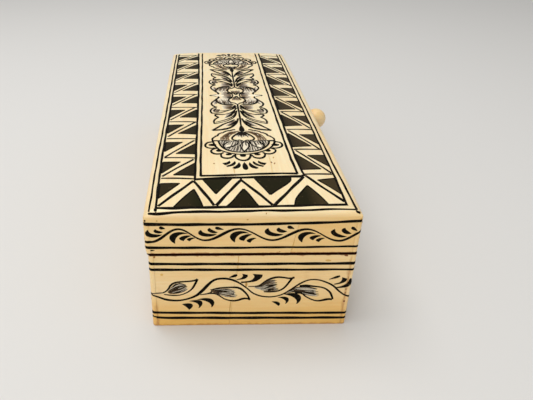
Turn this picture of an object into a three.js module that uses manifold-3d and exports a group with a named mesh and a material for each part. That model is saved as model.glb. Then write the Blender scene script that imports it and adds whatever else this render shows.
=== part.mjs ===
// A long hinged keepsake box: a thin wooden case skinned all over with bone plates.
// The lid is slightly crowned, has a mitred edging with a rounded top edge, and turns on
// two small butt hinges let into the back. A turned bone knob sits on the lid's front side.
//
// Millimetres. The origin is under the middle of the base. +Z is up, +Y runs along the box
// away from its near end, and +X points to the front side, which carries the knob.

import * as THREE from 'three';
import { mergeVertices } from 'three/addons/utils/BufferGeometryUtils.js';
import Module from 'manifold-3d';

// Outer sizes
const LENGTH = 208;
const BASE_WIDTH = 76;
const BASE_HEIGHT = 34.6;
const LID_WIDTH = 76.8;
const LID_SHIFT = -0.5;          // the lid stands this far towards the hinges
const SEAM = 0.2;                // gap between the closed lid and the rim
const CROWN_HEIGHT = 54.2;       // top of the lid at its middle
const CORNER_RADIUS = 1.3;

// Crown of the lid: flat over the panel, then falling to the long sides and to the ends
const PANEL_HALF_WIDTH = 19;
const SIDE_FALL = 1.3;
const END_FALL = 1.0;
const END_FALL_LENGTH = 36;
const CROWN_STEP = 4;            // facet length where the lid's top curves

// Facets of the round forms
const CORNER_FACETS = 5;
const EDGING_FACETS = 9;
const KNOB_RINGS = 12;
const KNOB_FACETS = 24;
const KNUCKLE_FACETS = 20;
const PIN_FACETS = 16;
const NAIL_FACETS = 14;
const PAD_FACETS = [8, 12];

// Material thicknesses and gaps
const BONE = 2;                  // bone plates on the sides
const BOARD = 5;                 // wooden walls
const BOTTOM_BOARD = 4.5;
const RIM = 1.46;                // bone strip on the rim
const GLUE = 0.04;               // gap between glued flat faces
const CROWN_GLUE = 0.1;          // gap between pieces that meet under the crown
const MITRE_GAP = 0.1;           // gap at the mitres of the rim strips
const OVERCUT = 1;               // how far a cutting tool stands out of what it cuts
const WELD = 1e-4;               // points closer than this are one point

// Lid levels
const LID_BOTTOM = BASE_HEIGHT + SEAM;
const RAIL_TOP = 48;             // top of rails and side plates, underside of the edging
const TOP_PLATE_BOTTOM = 50.6;
const EDGING_WIDTH = 3.4;
const EDGING_RADIUS = 2.6;
const BEVEL_WIDTH = 0.7;         // bevel along the lid's lower back edge
const BEVEL_HEIGHT = 3;

// Joints between the bone plates
const END_JOINT_TOP = -5.2;      // slanted joint of the base's end plates
const END_JOINT_BOTTOM = -8;
const LID_END_JOINT_TOP = 15.6;  // slanted joint of the lid's near plates
const LID_END_JOINT_BOTTOM = 13.4;
const NEAR_JOINT = -82;          // joints of the lid's top, which run under the ink lines
const SIDE_JOINT = 8;
const PANEL_EDGES = [-20.75, 19.6];
const PANEL_JOINTS = [-5.6, 9.3];

// Linings: velvet over card
const LINING = 1.6;
const FLOOR_LINING = 2;
const LINING_TOP = 33.8;
const LINING_SWELL = 0.6;        // how much lower a pad lies at its rim than in its middle
const LINING_POWERS = [6, 10];   // how flat the pads stay towards their sides and ends
const LID_LINING_GAP = 0.3;

// Hinges
const HINGE_PLACES = [-60, 60];
const HINGE_WIDTH = 18;
const PIN_X = -38.25;
const PIN_Z = BASE_HEIGHT + SEAM / 2;
const KNUCKLE_RADIUS = 1.4;
const KNUCKLE_BORE = 0.7;
const KNUCKLE_WALL = 0.2;        // least metal between the bore and the leaf's step
const KNUCKLE_LAP = 0.5;         // how far the knuckles' feet run into the leaf
const PIN_RADIUS = 0.56;
const PIN_HEAD_RADIUS = 0.95;
const PIN_HEAD_GAP = 0.05;
const PIN_HEAD_HEIGHT = 0.4;
const KNUCKLE_GAP = 0.15;
const CENTRE_KNUCKLE = 7.4;
const LEAF = 0.68;
const LEAF_OUTER_X = -36.6;
const LEAF_INNER_X = -32.2;
const LEAF_GAP = 0.02;
const NOTCH_CLEARANCE = 0.4;
const NOTCH_END_CLEARANCE = 0.6;
const RECESS_CLEARANCE = 0.15;
const RECESS_DEPTH = LEAF + 3 * LEAF_GAP;
const NAIL_X = -34.3;
const NAIL_OFFSETS = [-5.5, 5.5];
const NAIL_LENGTH = 7;
const NAIL_POINT = 1;
const NAIL_HOLE_CLEARANCE = 0.12;
const NAIL_HEAD_RADIUS = 1.1;
const NAIL_RADIUS = 0.48;

// Knob
const KNOB_Y = 0;
const KNOB_Z = 45.4;
const KNOB_RADIUS = 5.2;
const KNOB_STAND_OFF = 3.4;      // ball centre to the lid's side
const DOWEL_RADIUS = 1.8;
const DOWEL_LENGTH = 5;
const DOWEL_CHAMFER = 0.4;
const DOWEL_HOLE_CLEARANCE = 0.1;
const DOWEL_HOLE_DEPTH = 7;

const HALF_LENGTH = LENGTH / 2;
const HALF_BASE = BASE_WIDTH / 2;
const HALF_LID = LID_WIDTH / 2;
const LID_FRONT = LID_SHIFT + HALF_LID;
const LID_BACK = LID_SHIFT - HALF_LID;

const bone = new THREE.MeshStandardMaterial({ color: 0xf0dcae, roughness: 0.42, metalness: 0 });
const wood = new THREE.MeshStandardMaterial({ color: 0x6b4426, roughness: 0.7, metalness: 0 });
const velvet = new THREE.MeshStandardMaterial({ color: 0x5f1220, roughness: 0.95, metalness: 0 });
const brass = new THREE.MeshStandardMaterial({ color: 0xb08d45, roughness: 0.35, metalness: 1 });

const wasm = await Module();
wasm.setup();

// Solids and geometries

function toSolid(geometry) {
  const bare = geometry.clone();
  bare.deleteAttribute('normal');
  bare.deleteAttribute('uv');
  const merged = mergeVertices(bare, WELD);
  return new wasm.Manifold(new wasm.Mesh({
    numProp: 3,
    vertProperties: new Float32Array(merged.attributes.position.array),
    triVerts: new Uint32Array(merged.index.array),
  }));
}

function toGeometry(solid) {
  const mesh = solid.getMesh();
  const geometry = new THREE.BufferGeometry();
  geometry.setAttribute('position', new THREE.BufferAttribute(mesh.vertProperties, 3));
  geometry.setIndex(new THREE.BufferAttribute(mesh.triVerts, 1));
  geometry.computeVertexNormals();
  return geometry;
}

function cut(geometry, ...tools) {
  return toGeometry(tools.reduce((solid, tool) => solid.subtract(toSolid(tool)), toSolid(geometry)));
}

function join(...geometries) {
  const solids = geometries.map(toSolid);
  return toGeometry(solids.slice(1).reduce((all, solid) => all.add(solid), solids[0]));
}

function trim(geometry, envelope) {
  return toGeometry(toSolid(geometry).intersect(toSolid(envelope)));
}

// Plain block between two corners
function block([x0, y0, z0], [x1, y1, z1]) {
  const geometry = new THREE.BoxGeometry(x1 - x0, y1 - y0, z1 - z0);
  return geometry.translate((x0 + x1) / 2, (y0 + y1) / 2, (z0 + z1) / 2);
}

// Outline given in the XZ plane, carried along Y
function prismAlongY(points, from, to) {
  const shape = new THREE.Shape(points.map(([x, z]) => new THREE.Vector2(x, z)));
  const geometry = new THREE.ExtrudeGeometry(shape, { depth: to - from, bevelEnabled: false });
  return geometry.rotateX(Math.PI / 2).translate(0, to, 0);
}

// Upright prism with the box's plan and round corners, used to round what it cuts
function roundedEnvelope(centreX, halfWidth) {
  const shape = new THREE.Shape();
  const r = CORNER_RADIUS;
  const corners = [[1, -1, -90], [1, 1, 0], [-1, 1, 90], [-1, -1, 180]];
  for (const [sx, sy, start] of corners) {
    const from = THREE.MathUtils.degToRad(start);
    shape.absarc(centreX + sx * (halfWidth - r), sy * (HALF_LENGTH - r), r, from, from + Math.PI / 2);
  }
  const depth = CROWN_HEIGHT + 2 * OVERCUT;
  const options = { depth, bevelEnabled: false, curveSegments: CORNER_FACETS };
  return new THREE.ExtrudeGeometry(shape, options).translate(0, 0, -OVERCUT);
}

function cylinderAlongY(radius, from, to, x, z) {
  const geometry = new THREE.CylinderGeometry(radius, radius, to - from, KNUCKLE_FACETS);
  return geometry.translate(x, (from + to) / 2, z);
}

const baseEnvelope = roundedEnvelope(0, HALF_BASE);
const lidEnvelope = roundedEnvelope(LID_SHIFT, HALF_LID);

const box = new THREE.Group();
const base = new THREE.Group();
const lid = new THREE.Group();
box.add(base, lid);

function addPiece(group, name, geometry, material) {
  const mesh = new THREE.Mesh(geometry, material);
  mesh.name = name;
  group.add(mesh);
}

// Height of the lid's top surface: a flat middle that falls as a parabola to the edges
function topHeight(x, y) {
  const side = Math.max(0, Math.abs(x - LID_SHIFT) - PANEL_HALF_WIDTH) / (HALF_LID - PANEL_HALF_WIDTH);
  const end = Math.max(0, Math.abs(y) - (HALF_LENGTH - END_FALL_LENGTH)) / END_FALL_LENGTH;
  return CROWN_HEIGHT - SIDE_FALL * side ** 2 - END_FALL * end ** 2;
}

// Places between two ends where a surface under the crown needs a row of points: none on the
// flat part, which reaches flat on each side of centre, and one every few millimetres beyond it
function crownStations(from, to, centre, flat) {
  const edges = [from, centre - flat, centre + flat, to].filter((v) => v >= from && v <= to);
  const places = [from];
  for (let i = 1; i < edges.length; i += 1) {
    const [a, b] = [edges[i - 1], edges[i]];
    const onFlat = Math.abs((a + b) / 2 - centre) < flat;
    const steps = onFlat ? 1 : Math.ceil((b - a) / CROWN_STEP);
    for (let s = 1; s <= steps && b - a > WELD; s += 1) places.push(a + ((b - a) * s) / steps);
  }
  return places;
}

// Wooden case of the base

function makeBaseCase() {
  const x = HALF_BASE - BONE - GLUE;
  const y = HALF_LENGTH - BONE - GLUE;
  const inner = HALF_BASE - BONE - BOARD;
  const innerY = HALF_LENGTH - BONE - BOARD;
  const z0 = BOTTOM_BOARD + GLUE;
  const z1 = BASE_HEIGHT - RIM - GLUE;
  addPiece(base, 'base_bottom_board', block([-x, -y, 0], [x, y, BOTTOM_BOARD]), wood);
  addPiece(base, 'base_front_board', block([inner, -y, z0], [x, y, z1]), wood);
  const backHoles = HINGE_PLACES.flatMap((at) => nailHoles(at, BASE_HEIGHT));
  addPiece(base, 'base_back_board', cut(block([-x, -y, z0], [-inner, y, z1]), ...backHoles), wood);
  const end = inner - GLUE;
  addPiece(base, 'base_near_board', block([-end, -y, z0], [end, -innerY, z1]), wood);
  addPiece(base, 'base_far_board', block([-end, innerY, z0], [end, y, z1]), wood);
}

// Bone skin of the base: long plates lap over the ends of the end plates

function makeBaseSkin() {
  const inner = HALF_BASE - BONE;
  const halves = [[-HALF_LENGTH, -GLUE / 2], [GLUE / 2, HALF_LENGTH]];
  halves.forEach(([y0, y1], i) => {
    const front = trim(block([inner, y0, 0], [HALF_BASE, y1, BASE_HEIGHT]), baseEnvelope);
    addPiece(base, `base_front_plate_${i + 1}`, front, bone);
    const back = trim(block([-HALF_BASE, y0, 0], [-inner, y1, BASE_HEIGHT]), baseEnvelope);
    const seat = [knuckleNotch(HINGE_PLACES[i]), lowerLeafRecess(HINGE_PLACES[i])];
    addPiece(base, `base_back_plate_${i + 1}`, cut(back, ...seat), bone);
  });
  const x = inner - GLUE;
  const g = GLUE / 2;
  const left = [[-x, 0], [END_JOINT_BOTTOM - g, 0], [END_JOINT_TOP - g, BASE_HEIGHT], [-x, BASE_HEIGHT]];
  const right = [[END_JOINT_BOTTOM + g, 0], [x, 0], [x, BASE_HEIGHT], [END_JOINT_TOP + g, BASE_HEIGHT]];
  const nearTo = -HALF_LENGTH + BONE;
  addPiece(base, 'base_near_plate_left', prismAlongY(left, -HALF_LENGTH, nearTo), bone);
  addPiece(base, 'base_near_plate_right', prismAlongY(right, -HALF_LENGTH, nearTo), bone);
  addPiece(base, 'base_far_plate_left', prismAlongY(left, -nearTo, HALF_LENGTH), bone);
  addPiece(base, 'base_far_plate_right', prismAlongY(right, -nearTo, HALF_LENGTH), bone);
}

// Mitred bone strips on the rim: each is a bar whose ends are cut at 45 degrees

function makeRim() {
  const x = HALF_BASE - BONE - GLUE;
  const y = HALF_LENGTH - BONE - GLUE;
  const z = BASE_HEIGHT - RIM;
  const strip = (points) => {
    const shape = new THREE.Shape(points.map(([px, py]) => new THREE.Vector2(px, py)));
    return new THREE.ExtrudeGeometry(shape, { depth: RIM, bevelEnabled: false }).translate(0, 0, z);
  };
  const w = BOARD;
  const m = MITRE_GAP;
  const long = [[x, -y + m], [x, y - m], [x - w, y - w - m], [x - w, -y + w + m]];
  const short = [[-x + m, -y], [x - m, -y], [x - w - m, -y + w], [-x + w + m, -y + w]];
  const turned = (points) => points.map(([px, py]) => [-px, -py]);
  addPiece(base, 'base_rim_front', strip(long), bone);
  const recesses = HINGE_PLACES.flatMap((at) => [lowerLeafRecess(at), ...nailHoles(at, BASE_HEIGHT)]);
  addPiece(base, 'base_rim_back', cut(strip(turned(long)), ...recesses), bone);
  addPiece(base, 'base_rim_near', strip(short), bone);
  addPiece(base, 'base_rim_far', strip(turned(short)), bone);
}

// Linings

// Flat pad whose exposed face swells a little in the middle and rolls down to its edges
function pad([x0, y0, z0], [x1, y1, z1], swell) {
  const geometry = new THREE.BoxGeometry(x1 - x0, y1 - y0, z1 - z0, ...PAD_FACETS, 1);
  geometry.translate((x0 + x1) / 2, (y0 + y1) / 2, (z0 + z1) / 2);
  const position = geometry.attributes.position;
  const middle = (z0 + z1) / 2;
  for (let i = 0; i < position.count; i += 1) {
    const u = (2 * position.getX(i) - x0 - x1) / (x1 - x0);
    const v = (2 * position.getY(i) - y0 - y1) / (y1 - y0);
    const fall = Math.abs(swell) * (1 - (1 - u ** LINING_POWERS[0]) * (1 - v ** LINING_POWERS[1]));
    if (swell > 0 && position.getZ(i) > middle) position.setZ(i, z1 - fall);
    if (swell < 0 && position.getZ(i) < middle) position.setZ(i, z0 + fall);
  }
  geometry.computeVertexNormals();
  return geometry;
}

function makeLinings() {
  const x = HALF_BASE - BONE - BOARD - GLUE;
  const y = HALF_LENGTH - BONE - BOARD - GLUE;
  const z0 = BOTTOM_BOARD + GLUE;
  const wx = x - LINING;
  const wy = y - LINING;
  addPiece(base, 'base_lining_front', block([wx, -y, z0], [x, y, LINING_TOP]), velvet);
  addPiece(base, 'base_lining_back', block([-x, -y, z0], [-wx, y, LINING_TOP]), velvet);
  const ex = wx - GLUE;
  addPiece(base, 'base_lining_near', block([-ex, -y, z0], [ex, -wy, LINING_TOP]), velvet);
  addPiece(base, 'base_lining_far', block([-ex, wy, z0], [ex, y, LINING_TOP]), velvet);
  const ey = wy - GLUE;
  const floor = pad([-ex, -ey, z0], [ex, ey, z0 + FLOOR_LINING], LINING_SWELL);
  addPiece(base, 'base_lining_floor', floor, velvet);
  const lx0 = LID_BACK + BONE + BOARD + LID_LINING_GAP;
  const lx1 = LID_FRONT - BONE - BOARD - LID_LINING_GAP;
  const ly = y - LID_LINING_GAP;
  const top = RAIL_TOP - GLUE;
  const ceiling = pad([lx0, -ly, top - FLOOR_LINING], [lx1, ly, top], -LINING_SWELL);
  addPiece(lid, 'lid_lining', ceiling, velvet);
}

// Wooden case of the lid

function dowelHole() {
  const radius = DOWEL_RADIUS + DOWEL_HOLE_CLEARANCE;
  const geometry = new THREE.CylinderGeometry(radius, radius, 2 * DOWEL_HOLE_DEPTH, KNOB_FACETS);
  return geometry.rotateZ(Math.PI / 2).translate(LID_FRONT, KNOB_Y, KNOB_Z);
}

function makeLidCase() {
  const front = LID_FRONT - BONE - GLUE;
  const back = LID_BACK + BONE + GLUE;
  const y = HALF_LENGTH - BONE - GLUE;
  const innerY = y - BOARD + GLUE;
  const top = RAIL_TOP - GLUE;
  const inset = EDGING_WIDTH + GLUE;
  const board = [[LID_BACK + inset, -HALF_LENGTH + inset], [LID_FRONT - inset, HALF_LENGTH - inset]];
  const boardTop = TOP_PLATE_BOTTOM - GLUE;
  addPiece(lid, 'lid_top_board', block([...board[0], RAIL_TOP], [...board[1], boardTop]), wood);
  const frontRail = block([front - BOARD, -y, LID_BOTTOM], [front, y, top]);
  addPiece(lid, 'lid_front_rail', cut(frontRail, dowelHole()), wood);
  const backRail = block([back, -y, LID_BOTTOM], [back + BOARD, y, top]);
  const recesses = HINGE_PLACES.flatMap((at) => [
    knuckleNotch(at),
    leafRecess(at, LID_BOTTOM - OVERCUT, LID_BOTTOM + RECESS_DEPTH),
    ...nailHoles(at, LID_BOTTOM),
  ]);
  addPiece(lid, 'lid_back_rail', cut(backRail, ...recesses), wood);
  const x0 = back + BOARD + GLUE;
  const x1 = front - BOARD - GLUE;
  addPiece(lid, 'lid_near_rail', block([x0, -y, LID_BOTTOM], [x1, -innerY, top]), wood);
  addPiece(lid, 'lid_far_rail', block([x0, innerY, LID_BOTTOM], [x1, y, top]), wood);
}

// Bone skin of the lid's sides, with the bevel that lets the lid lean back

function makeLidSkin() {
  const top = RAIL_TOP - GLUE;
  const front = block([LID_FRONT - BONE, -HALF_LENGTH, LID_BOTTOM], [LID_FRONT, HALF_LENGTH, top]);
  addPiece(lid, 'lid_front_plate', cut(trim(front, lidEnvelope), dowelHole()), bone);
  const profile = [
    [LID_BACK + BEVEL_WIDTH, LID_BOTTOM],
    [LID_BACK + BONE, LID_BOTTOM],
    [LID_BACK + BONE, top],
    [LID_BACK, top],
    [LID_BACK, LID_BOTTOM + BEVEL_HEIGHT],
  ];
  const back = trim(prismAlongY(profile, -HALF_LENGTH, HALF_LENGTH), lidEnvelope);
  addPiece(lid, 'lid_back_plate', cut(back, ...HINGE_PLACES.map(knuckleNotch)), bone);

  const x0 = LID_BACK + BONE + GLUE;
  const x1 = LID_FRONT - BONE - GLUE;
  const g = GLUE / 2;
  const [jb, jt] = [LID_END_JOINT_BOTTOM, LID_END_JOINT_TOP];
  const left = [[x0, LID_BOTTOM], [jb - g, LID_BOTTOM], [jt - g, top], [x0, top]];
  const right = [[jb + g, LID_BOTTOM], [x1, LID_BOTTOM], [x1, top], [jt + g, top]];
  const nearTo = -HALF_LENGTH + BONE;
  addPiece(lid, 'lid_near_plate_left', prismAlongY(left, -HALF_LENGTH, nearTo), bone);
  addPiece(lid, 'lid_near_plate_right', prismAlongY(right, -HALF_LENGTH, nearTo), bone);
  addPiece(lid, 'lid_far_plate', block([x0, -nearTo, LID_BOTTOM], [x1, HALF_LENGTH, top]), bone);
}

// Edging strip along one side of the lid. Its section is a bar with a round outer top edge.
// Each section point is given by its inset from the outer face and by its depth below the
// crowned top, or by a fixed height. Both ends are mitred, because a point with inset d stops
// at distance d from the neighbouring side.
function edging(alongY, sign) {
  const section = [{ inset: 0, height: RAIL_TOP }];
  for (let i = 0; i <= EDGING_FACETS; i += 1) {
    const angle = (Math.PI / 2) * (i / EDGING_FACETS);
    const inset = EDGING_RADIUS * (1 - Math.cos(angle));
    section.push({ inset, depth: EDGING_RADIUS * (1 - Math.sin(angle)) });
  }
  section.push({ inset: EDGING_WIDTH, depth: 0 });
  section.push({ inset: EDGING_WIDTH, height: RAIL_TOP });

  const halfRun = alongY ? HALF_LENGTH : HALF_LID;
  const halfAcross = alongY ? HALF_LID : HALF_LENGTH;
  const flat = alongY ? HALF_LENGTH - END_FALL_LENGTH : PANEL_HALF_WIDTH;
  const runs = crownStations(-halfRun, halfRun, 0, flat);
  const gap = CROWN_GLUE / 2;
  const positions = [];
  for (const station of runs) {
    for (const { inset, depth, height } of section) {
      const run = (station / halfRun) * (halfRun - inset - gap);
      const across = sign * (halfAcross - inset);
      const x = LID_SHIFT + (alongY ? across : run);
      const y = alongY ? run : across;
      positions.push(x, y, height ?? topHeight(x, y) - depth);
    }
  }
  const n = section.length;
  const stations = runs.length - 1;
  const index = [];
  for (let s = 0; s < stations; s += 1) {
    for (let i = 0; i < n; i += 1) {
      const a = s * n + i;
      const b = s * n + ((i + 1) % n);
      index.push(a, b, a + n, b, b + n, a + n);
    }
  }
  const contour = section.map(({ inset, depth, height }) => (
    new THREE.Vector2(inset, height ?? CROWN_HEIGHT - depth)
  ));
  for (const [a, b, c] of THREE.ShapeUtils.triangulateShape(contour, [])) {
    index.push(a, b, c);
    index.push(stations * n + a, stations * n + c, stations * n + b);
  }
  const geometry = new THREE.BufferGeometry();
  geometry.setAttribute('position', new THREE.Float32BufferAttribute(positions, 3));
  geometry.setIndex(index);
  return outward(geometry);
}

// Turns a closed shell so that its faces point out
function outward(geometry) {
  const p = geometry.attributes.position;
  const index = geometry.index.array;
  const [a, b, c] = [new THREE.Vector3(), new THREE.Vector3(), new THREE.Vector3()];
  let volume = 0;
  for (let i = 0; i < index.length; i += 3) {
    a.fromBufferAttribute(p, index[i]);
    b.fromBufferAttribute(p, index[i + 1]);
    c.fromBufferAttribute(p, index[i + 2]);
    volume += a.dot(b.cross(c));
  }
  if (volume < 0) {
    for (let i = 0; i < index.length; i += 3) [index[i], index[i + 1]] = [index[i + 1], index[i]];
  }
  geometry.computeVertexNormals();
  return geometry;
}

function makeEdging() {
  addPiece(lid, 'lid_front_edging', trim(edging(true, 1), lidEnvelope), bone);
  addPiece(lid, 'lid_back_edging', trim(edging(true, -1), lidEnvelope), bone);
  addPiece(lid, 'lid_near_edging', trim(edging(false, -1), lidEnvelope), bone);
  addPiece(lid, 'lid_far_edging', trim(edging(false, 1), lidEnvelope), bone);
}

// Top plate with a flat underside and the crown worked into its upper face
function crownedPlate(x0, x1, y0, y1) {
  const xs = crownStations(x0, x1, LID_SHIFT, PANEL_HALF_WIDTH);
  const ys = crownStations(y0, y1, 0, HALF_LENGTH - END_FALL_LENGTH);
  const [nx, ny] = [xs.length - 1, ys.length - 1];
  const geometry = new THREE.BoxGeometry(nx, ny, 1, nx, ny, 1);
  const position = geometry.attributes.position;
  for (let i = 0; i < position.count; i += 1) {
    const x = xs[Math.round(position.getX(i) + nx / 2)];
    const y = ys[Math.round(position.getY(i) + ny / 2)];
    position.setXYZ(i, x, y, position.getZ(i) > 0 ? topHeight(x, y) : TOP_PLATE_BOTTOM);
  }
  geometry.computeVertexNormals();
  return geometry;
}

function makeTopPlates() {
  const inset = EDGING_WIDTH + CROWN_GLUE;
  const [x0, x1] = [LID_BACK + inset, LID_FRONT - inset];
  const [y0, y1] = [-HALF_LENGTH + inset, HALF_LENGTH - inset];
  const [p0, p1] = PANEL_EDGES;
  const g = CROWN_GLUE / 2;
  addPiece(lid, 'lid_top_plate_near', crownedPlate(x0, x1, y0, NEAR_JOINT - g), bone);
  const runs = [[NEAR_JOINT + g, SIDE_JOINT - g], [SIDE_JOINT + g, y1]];
  runs.forEach(([ya, yb], i) => {
    addPiece(lid, `lid_top_plate_back_${i + 1}`, crownedPlate(x0, p0 - g, ya, yb), bone);
    addPiece(lid, `lid_top_plate_front_${i + 1}`, crownedPlate(p1 + g, x1, ya, yb), bone);
  });
  const joints = [p0, ...PANEL_JOINTS, p1];
  for (let i = 0; i < joints.length - 1; i += 1) {
    const plate = crownedPlate(joints[i] + g, joints[i + 1] - g, NEAR_JOINT + g, y1);
    addPiece(lid, `lid_top_plate_centre_${i + 1}`, plate, bone);
  }
}

// Turned knob: a ball flattened where it meets the lid, with a dowel behind
function makeKnob() {
  const seat = GLUE;
  const start = Math.acos((KNOB_STAND_OFF - seat) / KNOB_RADIUS);
  const profile = [
    new THREE.Vector2(0, -DOWEL_LENGTH),
    new THREE.Vector2(DOWEL_RADIUS - DOWEL_CHAMFER, -DOWEL_LENGTH),
    new THREE.Vector2(DOWEL_RADIUS, -DOWEL_LENGTH + DOWEL_CHAMFER),
    new THREE.Vector2(DOWEL_RADIUS, seat),
  ];
  for (let i = 0; i <= KNOB_RINGS; i += 1) {
    const angle = start + (Math.PI - start) * (i / KNOB_RINGS);
    const radius = i === KNOB_RINGS ? 0 : KNOB_RADIUS * Math.sin(angle);
    profile.push(new THREE.Vector2(radius, KNOB_STAND_OFF - KNOB_RADIUS * Math.cos(angle)));
  }
  const geometry = new THREE.LatheGeometry(profile, KNOB_FACETS);
  geometry.rotateZ(-Math.PI / 2).translate(LID_FRONT, KNOB_Y, KNOB_Z);
  addPiece(lid, 'knob', geometry, bone);
}

// Hinges

// Room for the knuckles across the seam, open to the back
function knuckleNotch(at) {
  const y = HINGE_WIDTH / 2 + NOTCH_END_CLEARANCE;
  const r = KNUCKLE_RADIUS + NOTCH_CLEARANCE;
  return block([LID_BACK - OVERCUT, at - y, PIN_Z - r], [PIN_X + r, at + y, PIN_Z + r]);
}

function leafRecess(at, z0, z1) {
  const y = HINGE_WIDTH / 2 + RECESS_CLEARANCE;
  return block([LID_BACK - OVERCUT, at - y, z0], [LEAF_INNER_X + RECESS_CLEARANCE, at + y, z1]);
}

function lowerLeafRecess(at) {
  return leafRecess(at, BASE_HEIGHT - RECESS_DEPTH, BASE_HEIGHT + OVERCUT);
}

// Section of a countersunk nail, as radius and depth below the head's flat top
function nailProfile(grow) {
  const cone = NAIL_HEAD_RADIUS - NAIL_RADIUS;
  return [
    [0, 0],
    [NAIL_HEAD_RADIUS + grow, 0],
    [NAIL_RADIUS + grow, -cone],
    [NAIL_RADIUS + grow, -NAIL_LENGTH + NAIL_POINT],
    [0, -NAIL_LENGTH - grow],
  ];
}

// A nail, or its hole when grow is more than zero. side is -1 when it is driven down.
function nail(at, offset, z, side, grow) {
  const points = nailProfile(grow).reverse().map(([r, depth]) => new THREE.Vector2(r, depth));
  const geometry = new THREE.LatheGeometry(points, NAIL_FACETS);
  geometry.rotateX(side < 0 ? Math.PI / 2 : -Math.PI / 2);
  return geometry.translate(NAIL_X, at + offset, z);
}

function nailHoles(at, faceZ) {
  const radius = NAIL_RADIUS + NAIL_HOLE_CLEARANCE;
  return NAIL_OFFSETS.map((offset) => {
    const hole = new THREE.CylinderGeometry(radius, radius, 2 * (NAIL_LENGTH + OVERCUT), NAIL_FACETS);
    return hole.rotateX(Math.PI / 2).translate(NAIL_X, at + offset, faceZ);
  });
}

// Hinge leaf between two heights, with a knuckle over each of the given stretches
function leaf(at, z0, z1, knuckles) {
  const half = HINGE_WIDTH / 2;
  const footX = PIN_X + KNUCKLE_BORE + KNUCKLE_WALL;
  const pieces = [block([LEAF_OUTER_X, at - half, z0], [LEAF_INNER_X, at + half, z1])];
  for (const [from, to] of knuckles) {
    pieces.push(block([footX, at + from, z0], [LEAF_OUTER_X + KNUCKLE_LAP, at + to, z1]));
    pieces.push(cylinderAlongY(KNUCKLE_RADIUS, at + from, at + to, PIN_X, PIN_Z));
  }
  const reach = half + OVERCUT;
  return cut(join(...pieces), cylinderAlongY(KNUCKLE_BORE, at - reach, at + reach, PIN_X, PIN_Z));
}

// Pin with its two ends spread over the outer knuckles
function pin(at) {
  const head = HINGE_WIDTH / 2 + PIN_HEAD_GAP;
  const end = [
    [PIN_RADIUS, head - PIN_HEAD_GAP / 4],
    [PIN_HEAD_RADIUS, head],
    [0.7 * PIN_HEAD_RADIUS, head + 0.9 * PIN_HEAD_HEIGHT],
    [0, head + PIN_HEAD_HEIGHT],
  ];
  const otherEnd = end.map(([radius, along]) => [radius, -along]).reverse();
  const profile = [...otherEnd, ...end].map(([radius, along]) => new THREE.Vector2(radius, along));
  return new THREE.LatheGeometry(profile, PIN_FACETS).translate(PIN_X, at, PIN_Z);
}

function makeHinges() {
  const half = HINGE_WIDTH / 2;
  const centre = CENTRE_KNUCKLE / 2;
  const outer = centre + KNUCKLE_GAP;
  const lowerTop = BASE_HEIGHT - LEAF_GAP;
  const upperBottom = LID_BOTTOM + LEAF_GAP;
  HINGE_PLACES.forEach((at, i) => {
    const outerKnuckles = [[-half, -outer], [outer, half]];
    let lower = leaf(at, lowerTop - LEAF, lowerTop, outerKnuckles);
    let upper = leaf(at, upperBottom, upperBottom + LEAF, [[-centre, centre]]);
    NAIL_OFFSETS.forEach((offset, j) => {
      lower = cut(lower, nail(at, offset, lowerTop, -1, NAIL_HOLE_CLEARANCE));
      upper = cut(upper, nail(at, offset, upperBottom, 1, NAIL_HOLE_CLEARANCE));
      const number = 2 * i + j + 1;
      addPiece(base, `hinge_lower_nail_${number}`, nail(at, offset, lowerTop, -1, 0), brass);
      addPiece(lid, `hinge_upper_nail_${number}`, nail(at, offset, upperBottom, 1, 0), brass);
    });
    addPiece(base, `hinge_lower_leaf_${i + 1}`, lower, brass);
    addPiece(base, `hinge_pin_${i + 1}`, pin(at), brass);
    addPiece(lid, `hinge_upper_leaf_${i + 1}`, upper, brass);
  });
}

makeBaseCase();
makeBaseSkin();
makeRim();
makeLinings();
makeLidCase();
makeLidSkin();
makeEdging();
makeTopPlates();
makeKnob();
makeHinges();

export default box;
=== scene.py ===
"""Finish of a hinged bone keepsake box: polished bone plates with ink line work, in soft studio light.

The plates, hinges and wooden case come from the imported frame. This file gives each bone plate its
rubbed edges and its grain, draws the ink on every side, turns the knob and pads the lining.
Sizes are millimetres in the frame's axes: +X is the knob's side, +Y runs away from the near end.
"""

import functools
import math
from typing import NamedTuple

import bmesh
import bpy
import numpy as np
from mathutils import Matrix, Vector


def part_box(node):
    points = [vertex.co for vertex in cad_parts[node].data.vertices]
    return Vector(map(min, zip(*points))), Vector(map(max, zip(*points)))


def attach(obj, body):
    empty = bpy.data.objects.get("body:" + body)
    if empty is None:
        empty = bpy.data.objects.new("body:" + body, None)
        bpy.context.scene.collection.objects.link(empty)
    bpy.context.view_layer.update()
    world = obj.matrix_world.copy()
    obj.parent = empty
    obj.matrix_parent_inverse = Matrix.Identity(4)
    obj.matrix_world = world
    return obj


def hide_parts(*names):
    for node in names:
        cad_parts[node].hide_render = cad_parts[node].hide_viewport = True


bl_info = {
    "name": "Bone keepsake box finish",
    "version": (1, 0, 0),
    "blender": (4, 5, 0),
    "location": "3D View > Sidebar > Keepsake box",
    "description": "Polished bone, ink line work, velvet lining and studio for a hinged bone box",
    "category": "Object",
}

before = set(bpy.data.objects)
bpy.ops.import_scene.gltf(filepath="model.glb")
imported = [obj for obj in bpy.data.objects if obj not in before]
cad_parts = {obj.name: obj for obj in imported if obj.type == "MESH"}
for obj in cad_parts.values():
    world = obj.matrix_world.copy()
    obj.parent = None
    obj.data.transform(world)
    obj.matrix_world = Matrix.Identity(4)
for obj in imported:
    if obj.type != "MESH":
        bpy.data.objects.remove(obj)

MM = 0.001


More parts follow.
